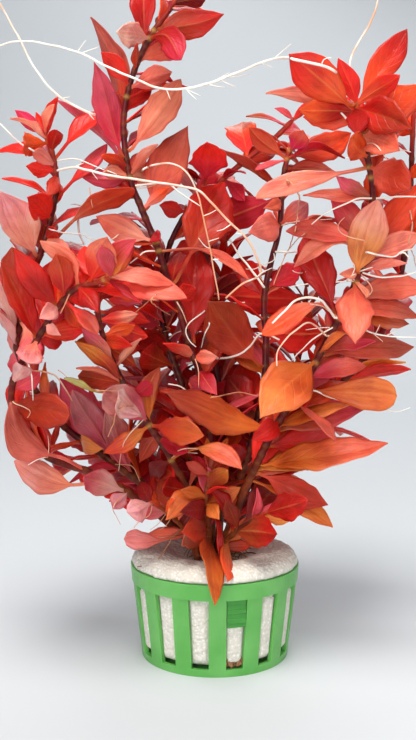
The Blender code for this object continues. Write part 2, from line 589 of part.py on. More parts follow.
def leaf_solid(form, cut, swell=0.0):
    """The corners and faces of a leaf: sections along the midrib, closed in a point at the tip."""
    rib = midrib(form)
    corners = []
    for share in cut.shares:
        point, side, up = leaf_frame(form, rib, share)
        half = max(form.width * blade_share(share), PETIOLE) / 2 + swell
        thick = BLADE_THICKNESS / 2 + swell
        lift = up * (BLADE_FOLD * (half - PETIOLE / 2 - swell))
        ridge = [point + up * thick] if cut.ridged else []
        corners += [point - side * half + lift, *ridge, point + side * half + lift, point - up * thick]
    tip = rib[-1] + (rib[-1] - rib[-2]).normalized() * swell
    corners.append(tip)
    sides = 4 if cut.ridged else 3
    faces = [tuple(reversed(range(sides)))]
    for row in range(len(cut.shares) - 1):
        for side in range(sides):
            near, far = row * sides + side, row * sides + (side + 1) % sides
            faces.append((near, far, far + sides, near + sides))
    last = sides * (len(cut.shares) - 1)
    faces += [(last + side, last + (side + 1) % sides, len(corners) - 1) for side in range(sides)]
    return corners, faces


def blade_only(form, swell=0.0):
    """The leaf without its stalk."""
    corners, faces = leaf_solid(form, BLADE, swell)
    return corners, [face for face in faces if min(face) > 2]


def obstacle(shoot_name, fused, corners, faces, blade=None):
    """Something already in place, with the box and the trees that tell what meets it."""
    spots = np.array(corners)
    tree = BVHTree.FromPolygons(corners, faces)
    blade_tree = BVHTree.FromPolygons(*blade) if blade else tree
    return SimpleNamespace(
        shoot=shoot_name, fused=fused, low=spots.min(axis=0), high=spots.max(axis=0), tree=tree,
        blade_tree=blade_tree)


def is_clear(form, cut, stem, fused, placed):
    """Whether the leaf, a little swollen, meets nothing that is already in place."""
    corners, faces = leaf_solid(form, cut, CLEARANCE)
    spots = np.array(corners)
    low, high = spots.min(axis=0), spots.max(axis=0)
    near = [item for item in placed if (item.low <= high).all() and (item.high >= low).all()]
    whole = BVHTree.FromPolygons(corners, faces)
    blade = BVHTree.FromPolygons(*blade_only(form, CLEARANCE))
    for item in near:
        grown_together = fused and item.fused and item.shoot == stem.name
        mine = blade if grown_together else whole
        theirs = item.blade_tree if grown_together else item.tree
        if mine.overlap(theirs):
            return False
    return True


def leaf_base(stem, share, toward, fused):
    """Where a leaf that grows toward a point starts: just past the stem's centre, or a gap off its surface."""
    centre, heading = along(stem.line, share)
    outward = toward - centre
    lean = abs(outward.normalized().dot(heading))
    outward -= heading * outward.dot(heading)
    reach = -0.3 if fused else stem_radius(stem, share) + GAP + 0.15 + 0.45 * lean
    return centre + outward.normalized() * reach


def seen_leaf(stem, given, fused, slide, shift, shrink, flip):
    """A leaf as it shows in the view, with its tip moved in depth."""
    lowest = 1.2 / stem_length(stem)
    share = min(max(share_nearest(stem, given.base) + slide / stem_length(stem), lowest), 0.995)
    centre, heading = along(stem.line, share)
    base_pixel = pixel_of(centre)
    show = math.dist(base_pixel, given.tip)
    full = max(given.width / SLENDERNESS, show * 1.04)
    reach = min(math.sqrt(full**2 - show**2) * MM_PER_PIXEL * 0.85, 20)
    tip_depth = centre.y - given.side * reach - shift
    tip = seen(*given.tip, tip_depth)
    tip = centre + (tip - centre) * shrink
    base = leaf_base(stem, share, tip, fused)
    via = []
    for index, pixel in enumerate(given.via):
        part = (index + 1) / (len(given.via) + 1)
        via.append(base + (seen(*pixel, base.y + (tip_depth - base.y) * part) - base) * shrink)
    direction = (tip - base).normalized()
    to_eye = (EYE - base).normalized()
    facing = (to_eye - direction * to_eye.dot(direction)).normalized()
    flat = direction.cross(facing)
    shown = given.width * MM_PER_PIXEL * shrink
    length = (tip - base).length
    width = max(shown, min(0.32 * length, 2.6 * shown))
    turn = math.acos(min(shown / width, 1))
    stem_side = heading - direction * heading.dot(direction)
    turns = sorted((turn, -turn), key=lambda angle: -abs(turned(facing, flat, angle).dot(stem_side)))
    normal = turned(facing, flat, turns[flip])
    upper = 1 if normal.dot(stem_side) >= 0 else -1
    bend = 0.05 + 0.05 * math.sin(given.tip[0] * 1.7 + given.tip[1])
    return SimpleNamespace(
        base=base, tip=tip, via=via, width=width, up=normal * upper, across=normal.cross(direction).normalized(),
        bend=bend, colour=given.colour, end=given.end)


def stem_length(stem):
    return sum((after - before).length for before, after in zip(stem.line, stem.line[1:]))


def turned(facing, flat, angle):
    return facing * math.cos(angle) + flat * math.sin(angle)


def paired_leaf(stem, share, angle, colour, slide, shift, shrink, flip):
    """One leaf of a pair on a rear shoot, pointing out at this angle round its stem."""
    angle += 0.25 * flip
    centre, heading = along(stem.line, min(share + slide / stem_length(stem), 0.995))
    front = (Vector((0, -1, 0)) - heading * -heading.y).normalized()
    beside = heading.cross(front)
    outward = front * math.cos(angle) + beside * math.sin(angle)
    length = spread(PAIR_LENGTH, share) * shrink
    rise = spread(PAIR_RISE, share) + shift / 20
    direction = (outward + heading * rise).normalized()
    tip = centre + direction * length
    base = leaf_base(stem, share, tip, True)
    up = (heading - direction * heading.dot(direction)).normalized()
    return SimpleNamespace(
        base=base, tip=tip, via=[], width=length * SLENDERNESS, up=up, across=up.cross(direction).normalized(),
        bend=0.09, colour=colour, end=colour)


def settled(make, cut, stem, fused, placed):
    """The first way of making the leaf that meets nothing, kept among the obstacles, or None."""
    for shrink, shift, slide, flip in itertools.product(SHRINKS, TIP_SHIFTS, BASE_SLIDES, (0, 1)):
        form = make(slide, shift, shrink, flip)
        if is_clear(form, cut, stem, fused, placed):
            placed.append(obstacle(stem.name, fused, *leaf_solid(form, cut), blade_only(form)))
            return form
    return None


def shown_area(given):
    return math.dist(given.base, given.tip) * given.width


def grow_seen_leaves(stems, placed, least_area):
    """The leaves that show in the view and fill at least this many pixels there, the largest first."""
    rows = [(name, index, given) for name in LEAVES for index, given in enumerate(LEAVES[name])]
    rows.sort(key=lambda row: -shown_area(row[2]))
    grown = []
    for rank, (name, index, given) in enumerate(rows):
        if shown_area(given) < least_area:
            break
        fused = rank >= LARGEST_LEAVES
        cut = LARGE if not fused else MEDIUM if shown_area(given) > MEDIUM_AREA else SMALL
        make = functools.partial(seen_leaf, stems[name], given, fused)
        form = settled(make, cut, stems[name], fused, placed)
        if form:
            label = f"{name}_leaf_{index + 1:02d}"
            grown.append(SimpleNamespace(form=form, shoot=name, fused=fused, cut=cut, label=label))
    return grown


def grow_paired_leaves(stems, placed):
    """The leaves of the shoots at the back, in opposite pairs."""
    grown = []
    for name, (shares, first_angle, colour) in PAIRED.items():
        for pair, half in itertools.product(range(len(shares)), (0, 1)):
            angle = math.radians(first_angle + 90 * pair + 186 * half)
            share = shares[pair] + 0.4 * half / stem_length(stems[name])
            make = functools.partial(paired_leaf, stems[name], share, angle, colour)
            form = settled(make, SMALL, stems[name], True, placed)
            if form:
                label = f"{name}_leaf_{2 * pair + half + 1:02d}"
                grown.append(SimpleNamespace(form=form, shoot=name, fused=True, cut=SMALL, label=label))
    return grown


def root_line(given, stems, count):
    """The root's route, from the surface of its stem."""
    points = depth_route(given.route, given.depths)
    stem = stems[given.shoot]
    share = share_nearest(stem, given.route[0])
    centre, heading = along(stem.line, share)
    away = points[1] - centre
    away -= heading * away.dot(heading)
    points[0] = centre + away.normalized() * (stem_radius(stem, share) + GAP + ROOT_RADIUS)
    return smooth_route(points, count)


def root_points(given):
    return max(7, round(1.15 * len(given.route)))


def clear_scene():
    for old in list(bpy.data.objects):
        bpy.data.objects.remove(old, do_unlink=True)


def new_collection(name, hidden=False):
    made = bpy.data.collections.new(name)
    bpy.context.scene.collection.children.link(made)
    made.hide_render = hidden
    return made


def material(name, colour, roughness):
    found = bpy.data.materials.get(name)
    if found:
        return found
    made = bpy.data.materials.new(name)
    made.use_nodes = True
    shader = made.node_tree.nodes["Principled BSDF"]
    shader.inputs["Base Color"].default_value = (*colour, 1)
    shader.inputs["Roughness"].default_value = roughness
    shader.inputs["Metallic"].default_value = 0
    return made


def mesh_object(name, corners, faces, collection, look):
    """An object from corners in millimetres, with its faces turned outward."""
    form = bmesh.new()
    corners = [form.verts.new(Vector(corner) * MM) for corner in corners]
    for face in faces:
        form.faces.new([corners[index] for index in face])
    bmesh.ops.recalc_face_normals(form, faces=form.faces)
    mesh = bpy.data.meshes.new(name)
    form.to_mesh(mesh)
    form.free()
    made = bpy.data.objects.new(name, mesh)
    made.data.materials.append(look)
    collection.objects.link(made)
    return made


def tube_object(name, points, radii, roundness, collection, look):
    """A round tube along the points, as a bevelled curve made into a mesh with its caps welded."""
    curve = bpy.data.curves.new(name, "CURVE")
    curve.dimensions = "3D"
    curve.bevel_depth = MM
    curve.bevel_resolution = roundness
    curve.use_fill_caps = True
    spline = curve.splines.new("POLY")
    spline.points.add(len(points) - 1)
    for spot, point, radius in zip(spline.points, points, radii):
        spot.co = (*(point * MM), 1)
        spot.radius = radius
    guide = bpy.data.objects.new(f"{name}_guide", curve)
    bpy.context.scene.collection.objects.link(guide)
    bpy.context.view_layer.update()
    mesh = bpy.data.meshes.new_from_object(guide.evaluated_get(bpy.context.evaluated_depsgraph_get()))
    mesh.name = name
    form = bmesh.new()
    form.from_mesh(mesh)
    bmesh.ops.remove_doubles(form, verts=form.verts, dist=0.00002)
    form.to_mesh(mesh)
    form.free()
    made = bpy.data.objects.new(name, mesh)
    made.matrix_world = guide.matrix_world
    bpy.data.objects.remove(guide, do_unlink=True)
    mesh.materials.clear()
    mesh.materials.append(look)
    mesh.shade_smooth()
    collection.objects.link(made)
    return made


def join_modifier(target, operands, operation):
    made = target.modifiers.new("Joined" if operation == "UNION" else "Cut", "BOOLEAN")
    made.operation = operation
    made.operand_type = "COLLECTION"
    made.collection = operands
    made.solver = "EXACT"


def turned_solid(name, profile, steps, collection, look):
    """A solid turned round Z from a profile of (radius, height) pairs that ends on the axis."""
    mesh = bpy.data.meshes.new(name)
    corners = [(radius * MM, 0, height * MM) for radius, height in profile]
    mesh.from_pydata(corners, [(index, index + 1) for index in range(len(corners) - 1)], [])
    made = bpy.data.objects.new(name, mesh)
    mesh.materials.append(look)
    collection.objects.link(made)
    turn = made.modifiers.new("Turned", "SCREW")
    turn.steps = steps
    turn.render_steps = steps
    turn.use_merge_vertices = True
    turn.merge_threshold = 0.00005
    return made


def box(name, centre, size, angle, collection, taper=1.0):
    """A box whose lower end is narrower across by taper, turned about Z to stand at an angle round the pot."""
    form = bmesh.new()
    bmesh.ops.create_cube(form, size=1)
    for corner in form.verts:
        narrow = taper if corner.co.z < 0 else 1
        corner.co = Vector((corner.co.x * size[0] * narrow, corner.co.y * size[1], corner.co.z * size[2])) * MM
    mesh = bpy.data.meshes.new(name)
    form.to_mesh(mesh)
    form.free()
    made = bpy.data.objects.new(name, mesh)
    radius, height = centre
    made.location = (radius * math.sin(angle) * MM, -radius * math.cos(angle) * MM, height * MM)
    made.rotation_euler = (0, 0, angle)
    made.display_type = "WIRE"
    made.hide_render = True
    collection.objects.link(made)
    return made


def pot_radius(height):
    """The pot's outer radius at a height below the rim band."""
    foot, top = FOOT_DIAMETER / 2, RIM_DIAMETER / 2 - RIM_PROUD
    return foot + (top - foot) * height / (POT_HEIGHT - RIM_BAND)


def build_pot(collection, cutters, panels):
    """The net pot: a turned cup with windows between its slats, slots in its floor and one ribbed panel."""
    band_foot = POT_HEIGHT - RIM_BAND
    rim = RIM_DIAMETER / 2
    profile = [
        (0, POT_WALL),
        (pot_radius(POT_WALL) - POT_WALL, POT_WALL),
        (pot_radius(band_foot) - POT_WALL, band_foot),
        (rim - POT_WALL, POT_HEIGHT),
        (rim, POT_HEIGHT),
        (rim - RIM_PROUD / 2, band_foot),
        (pot_radius(band_foot), band_foot),
        (FOOT_DIAMETER / 2, 0),
        (0, 0),
    ]
    pot = turned_solid("net_pot", profile, 28, collection, material("green plastic", POT_COLOUR, 0.35))
    pitch = 2 * math.pi / SLATS
    top_window = pot_radius(band_foot) * pitch - SLAT_WIDTH
    foot_window = pot_radius(FOOT_BAND) * pitch - SLAT_WIDTH
    height = band_foot - FOOT_BAND
    for index in range(SLATS):
        angle = FIRST_SLAT + (index + 0.5) * pitch
        size = (top_window, 9, height)
        box(f"window_{index + 1:02d}", (24, FOOT_BAND + height / 2), size, angle, cutters, foot_window / top_window)
    for index in range(FLOOR_SLOTS):
        angle = 2 * math.pi * (index + 0.5) / FLOOR_SLOTS
        size = (FLOOR_SLOT[1], FLOOR_SLOT[0], 4 * POT_WALL)
        box(f"floor_slot_{index + 1}", (FLOOR_DISC_RADIUS + FLOOR_SLOT[0] / 2, 0), size, angle, cutters)
    join_modifier(pot, cutters, "DIFFERENCE")
    panel_angle = FIRST_SLAT + 0.5 * pitch
    middle = band_foot - PANEL_HEIGHT / 2 + 0.4
    panel_radius = pot_radius(middle) - 0.6
    box("panel", (panel_radius, middle), (top_window + 0.6, 0.8, PANEL_HEIGHT), panel_angle, panels)
    for share in (-0.28, 0.04, 0.36):
        place = (panel_radius + 0.3, middle + share * PANEL_HEIGHT)
        box(f"panel_rib_{share}", place, (top_window + 0.4, 0.6, 1.3), panel_angle, panels)
    join_modifier(pot, panels, "UNION")
    return pot


def build_foam(collection):
    """The foam plug, wedged in the pot and domed over its rim, with a pocket for the stems."""
    rim = RIM_DIAMETER / 2
    band_foot = POT_HEIGHT - RIM_BAND
    top = POT_HEIGHT + FOAM_DOME
    inside = pot_radius(band_foot) - POT_WALL - GAP
    profile = [
        (0, POCKET_FLOOR),
        (POCKET_RADIUS, POCKET_FLOOR),
        (POCKET_RADIUS + 2.5, top),
        (rim - 4.5, top - 0.5),
        (rim - 0.8, top - 2.5),
        (rim - POT_WALL - GAP - 0.2, POT_HEIGHT + 0.1),
        (inside - 0.2, band_foot),
        (pot_radius(FOAM_FOOT) - POT_WALL - GAP - 0.2, FOAM_FOOT),
        (0, FOAM_FOOT),
    ]
    return turned_solid("foam_plug", profile, 24, collection, material("white foam", FOAM_COLOUR, 0.95))


def build_stems(stems, leaves, collection):
    """Each stem with its smaller leaves grown onto it."""
    bark = material("stem", STEM_COLOUR, 0.45)
    for name, stem in stems.items():
        count = len(SHOOTS[name].route) + (2 if len(stem.line) > 30 else 3)
        shares = [index / (count - 1) for index in range(count)]
        points = [along(stem.line, share)[0] for share in shares]
        radii = [stem_radius(stem, share) for share in shares]
        made = tube_object(f"stem_{name}", points, radii, STEM_ROUNDNESS, collection, bark)
        own = [leaf for leaf in leaves if leaf.fused and leaf.shoot == name]
        if not own:
            continue
        small = new_collection(f"small leaves of {name}", hidden=True)
        for leaf in own:
            corners, faces = leaf_solid(leaf.form, leaf.cut)
            grown = mesh_object(leaf.label, corners, faces, small, leaf_look(leaf.form))
            grown.display_type = "WIRE"
            grown.hide_render = True
        join_modifier(made, small, "UNION")
        fill_hollows(made)


def fill_hollows(target):
    """Applies the target's modifiers and removes the inner shells that crossing leaves shut in."""
    bpy.context.view_layer.update()
    mesh = bpy.data.meshes.new_from_object(target.evaluated_get(bpy.context.evaluated_depsgraph_get()))
    form = bmesh.new()
    form.from_mesh(mesh)
    waiting = set(form.faces)
    while waiting:
        shell = {waiting.pop()}
        edge_of_shell = list(shell)
        while edge_of_shell:
            face = edge_of_shell.pop()
            beside = {other for edge in face.edges for other in edge.link_faces} - shell
            shell |= beside
            edge_of_shell += beside
        waiting -= shell
        volume = sum(face.calc_center_median().dot(face.normal) * face.calc_area() for face in shell) / 3
        if volume < 0:
            bmesh.ops.delete(form, geom=list(shell), context="FACES")
    form.to_mesh(mesh)
    form.free()
    mesh.materials.clear()
    mesh.materials.append(target.data.materials[0])
    target.modifiers.clear()
    target.data = mesh


def leaf_look(form):
    return material(f"leaf {form.colour.replace('_', ' ')}", COLOURS[form.colour], 0.4)


def build_leaves(leaves, collection):
    """The largest leaves, each a solid of its own a gap away from its stem."""
    for leaf in leaves:
        if leaf.fused:
            continue
        corners, faces = leaf_solid(leaf.form, leaf.cut)
        mesh_object(leaf.label, corners, faces, collection, leaf_look(leaf.form))


def build_roots(lines, collection):
    look = material("water root", ROOT_COLOUR, 0.5)
    for name, line in lines.items():
        tube_object(name, line, [ROOT_RADIUS] * len(line), ROOT_ROUNDNESS, collection, look)


def pot_and_foam_obstacles():
    """Plain shapes of the pot and the foam, for leaves and stems to stay clear of."""
    rim = RIM_DIAMETER / 2 + 0.4
    top = POT_HEIGHT + FOAM_DOME + 0.3
    wall = [Vector((0, 0, 0)), Vector((0, 0, POT_HEIGHT))]
    dome = [Vector((0, 0, POT_HEIGHT)), Vector((0, 0, top - 2.2)), Vector((0, 0, top - 0.5)), Vector((0, 0, top))]
    pocket = [Vector((0, 0, POCKET_FLOOR)), Vector((0, 0, top))]
    shapes = [
        (wall, (FOOT_DIAMETER / 2, rim)),
        (dome, (rim, rim - 0.8, rim - 4.3, POCKET_RADIUS + 2.2)),
        (pocket, (POCKET_RADIUS - 0.4, POCKET_RADIUS + 2.2)),
        ([Vector((0, 0, POCKET_FLOOR - 0.2)), Vector((0, 0, POCKET_FLOOR + 0.3))], (POCKET_RADIUS, 0.01)),
    ]
    return [obstacle("", False, *tube(points, radii, 24)) for points, radii in shapes]


def main():
    clear_scene()
    parts = new_collection("Red water plant in a net pot")
    cutters = new_collection("Cutters", hidden=True)
    panels = new_collection("Panel of the pot", hidden=True)
    stems = {name: grown_shoot(name) for name in SHOOTS}
    placed = pot_and_foam_obstacles()
    for stem in stems.values():
        radii = [stem_radius(stem, index / (len(stem.line) - 1)) for index in range(len(stem.line))]
        placed.append(obstacle(stem.name, True, *tube(stem.line, radii)))
    lines = {name: root_line(given, stems, root_points(given)) for name, given in ROOTS.items()}
    for name, line in lines.items():
        placed.append(obstacle("", False, *tube(line, [ROOT_RADIUS] * len(line))))
    leaves = grow_seen_leaves(stems, placed, SMALL_AREA) + grow_paired_leaves(stems, placed)
    build_pot(parts, cutters, panels)
    build_foam(parts)
    build_stems(stems, leaves, parts)
    build_leaves(leaves, parts)
    build_roots(lines, parts)


main()
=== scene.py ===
"""The looks of the red water plant in its net pot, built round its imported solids.

Every leaf grows on the midrib and in the frame of its solid, so that the fine blades stand where the solids
do. The view's pixels place the shoots and leaves, as in the solids. Lengths are in millimetres until a mesh
is made.
"""

import functools
import itertools
import math
import random
from types import SimpleNamespace

import bmesh
import bpy
import numpy as np
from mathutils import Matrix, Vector, noise
from mathutils.bvhtree import BVHTree


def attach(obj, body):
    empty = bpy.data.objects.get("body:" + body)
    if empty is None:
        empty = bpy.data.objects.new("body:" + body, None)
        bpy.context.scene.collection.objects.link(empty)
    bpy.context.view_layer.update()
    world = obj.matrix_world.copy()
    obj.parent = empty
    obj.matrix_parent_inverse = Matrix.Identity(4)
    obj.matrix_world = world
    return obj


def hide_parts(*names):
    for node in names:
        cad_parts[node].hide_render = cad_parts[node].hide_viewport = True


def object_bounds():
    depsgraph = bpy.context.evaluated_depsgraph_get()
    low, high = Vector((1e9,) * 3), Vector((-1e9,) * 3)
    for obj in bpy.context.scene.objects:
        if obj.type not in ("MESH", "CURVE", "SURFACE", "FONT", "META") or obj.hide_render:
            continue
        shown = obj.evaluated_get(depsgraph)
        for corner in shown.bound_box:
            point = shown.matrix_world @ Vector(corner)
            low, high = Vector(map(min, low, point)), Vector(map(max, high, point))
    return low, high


MM = 0.001

# Driving dimensions of the pot
RIM_DIAMETER = 50.0
FOOT_DIAMETER = 43.5
POT_HEIGHT = 27.5
RIM_BAND = 4.5
RIM_PROUD = 0.5
FOOT_BAND = 2.2
POT_WALL = 1.3
SLATS = 14
SLAT_WIDTH = 4.9
FIRST_SLAT = math.radians(1.7)
FLOOR_SLOTS = 8
FLOOR_SLOT = (9.5, 2.6)
FLOOR_DISC_RADIUS = 9.0
PANEL_HEIGHT = 8.4

# Driving dimensions of the foam plug
GAP = 0.3
FOAM_FOOT = 5.0
FOAM_DOME = 3.6
POCKET_RADIUS = 11.0
POCKET_FLOOR = 23.5

# Driving dimensions of the plant
ROOT_RADIUS = 0.36
PETIOLE = 0.9
BLADE_THICKNESS = 0.8
BLADE_FOLD = 0.12
BLADE_START = 0.12
SLENDERNESS = 0.38

# The largest leaves are solids of their own, and their areas in the view tell how finely the rest are cut
LARGEST_LEAVES = 33
MEDIUM_AREA, SMALL_AREA = 1300, 450
LARGE = SimpleNamespace(shares=(0, 0.13, 0.36, 0.7), ridged=True)
MEDIUM = SimpleNamespace(shares=(0, 0.3, 0.68), ridged=False)
SMALL = SimpleNamespace(shares=(0, 0.42), ridged=False)
BLADE = SimpleNamespace(shares=(0, 0.14, 0.4, 0.7), ridged=False)

# The view in which the plant is laid out: places are pixels of it, and depths are millimetres along Y
VIEW_WIDTH, VIEW_HEIGHT = 416, 740
EYE = Vector((-2.0, -318.0, 118.3))
EYE_PITCH = math.radians(6)
HALF_FIELD = 0.3395
FORWARD = Vector((0, math.cos(EYE_PITCH), -math.sin(EYE_PITCH)))
UPWARD = Vector((0, math.sin(EYE_PITCH), math.cos(EYE_PITCH)))
MM_PER_PIXEL = -EYE.y / math.cos(EYE_PITCH) * HALF_FIELD / (VIEW_HEIGHT / 2)

FRONT, BACK = 1, -1


def shoot(route, depths, thick=(1.2, 0.75)):
    """A stem through pixels of the view, with depths spread along it and its radii at foot and top."""
    return SimpleNamespace(route=route, depths=depths, thick=thick)


SHOOTS = {
    "tall_left": shoot(
        [(210, 548), (212, 520), (212, 480), (210, 440), (208, 400), (197, 365), (187, 338), (178, 305),
         (165, 270), (155, 240), (140, 205), (130, 180), (124, 135), (126, 100), (138, 62), (152, 34),
         (168, 12), (184, -15)],
        (-1.5, -2, -3, -4, -4, -4, -4)),
    "right": shoot(
        [(222, 548), (235, 515), (250, 478), (275, 428), (304, 382), (330, 335), (348, 300), (361, 265),
         (369, 230), (373, 190), (368, 160), (362, 135), (355, 103)],
        (-3.5, -8, -14, -20, -25, -28, -32)),
    "far_left": shoot(
        [(200, 548), (175, 518), (150, 490), (112, 462), (66, 428), (40, 398), (20, 360), (17, 338),
         (28, 290), (45, 240), (56, 195), (57, 180), (53, 155), (45, 132)],
        (0.5, 1.5, 2, 1, -1, -3, -4, -5)),
    "left_bow": shoot(
        [(195, 548), (165, 520), (140, 500), (92, 473), (48, 457), (16, 420), (13, 380), (36, 342),
         (57, 308), (76, 288), (100, 281), (112, 276)],
        (-3.5, -11, -17, -22, -27, -31, -36)),
    "inner_left": shoot(
        [(204, 548), (198, 515), (188, 490), (170, 457), (149, 424), (133, 402), (119, 374), (106, 345),
         (98, 315), (99, 286)],
        (-5, -8, -11, -13, -13, -11, -10), (1.1, 0.7)),
    "middle": shoot(
        [(210, 548), (200, 500), (192, 460), (187, 420), (182, 385), (168, 345), (160, 305), (160, 285),
         (170, 245), (183, 218), (197, 198), (205, 182)],
        (2.5, 5, 9, 12, 14, 14, 13, 12)),
    "back_middle": shoot(
        [(218, 548), (222, 480), (222, 430), (218, 380), (210, 330), (205, 280), (207, 230), (215, 190),
         (225, 177), (246, 160), (275, 138), (295, 118)],
        (5, 10, 16, 20, 21, 20, 20, 18)),
    "back_right": shoot(
        [(225, 548), (240, 480), (255, 430), (264, 385), (266, 340), (264, 300), (272, 258), (277, 240),
         (281, 215), (283, 178), (292, 145), (300, 135)],
        (1, 3, 4, 5, 7, 10, 12, 13, 14)),
    "far_right": shoot(
        [(231, 548), (240, 520), (264, 480), (300, 430), (340, 385), (375, 345), (395, 300), (405, 250),
         (410, 200), (412, 150), (414, 110)],
        (5.5, 10, 15, 19, 20, 19, 17, 14)),
    "low_front": shoot([(209, 548), (208, 520), (206, 498), (209, 474)], (-8, -12, -15, -16), (0.9, 0.6)),
    "low_right": shoot([(221, 548), (238, 530), (254, 520), (268, 512)], (-7.5, -13, -17, -20), (0.9, 0.6)),
    "low_left": shoot([(196, 548), (184, 528), (168, 512), (152, 503)], (-7.5, -12, -17, -21), (0.9, 0.6)),
    "rear_left": shoot(
        [(203, 548), (190, 510), (168, 460), (150, 400), (142, 340), (146, 290)],
        (6, 16, 26, 33, 37, 38), (1.1, 0.7)),
    "rear_right": shoot(
        [(222, 548), (240, 505), (266, 450), (290, 390), (304, 330), (306, 285)],
        (8, 18, 28, 35, 39, 40), (1.1, 0.7)),
    "rear_middle": shoot(
        [(212, 548), (206, 500), (204, 440), (212, 370), (222, 300), (226, 240)],
        (7.5, 19, 31, 39, 43, 44), (1.1, 0.7)),
    "rear_low": shoot([(196, 548), (182, 515), (165, 485), (150, 458)], (4.5, 17, 29, 36), (0.9, 0.6)),
}


def leaf(base, tip, width, side, colour, end=None, via=(), lean=0):
    """A leaf from base to tip in the view, as wide as it shows there, leaning to the front or the back."""
    return SimpleNamespace(
        base=base, tip=tip, width=width, side=side, colour=colour, end=end or colour, via=via, lean=lean)


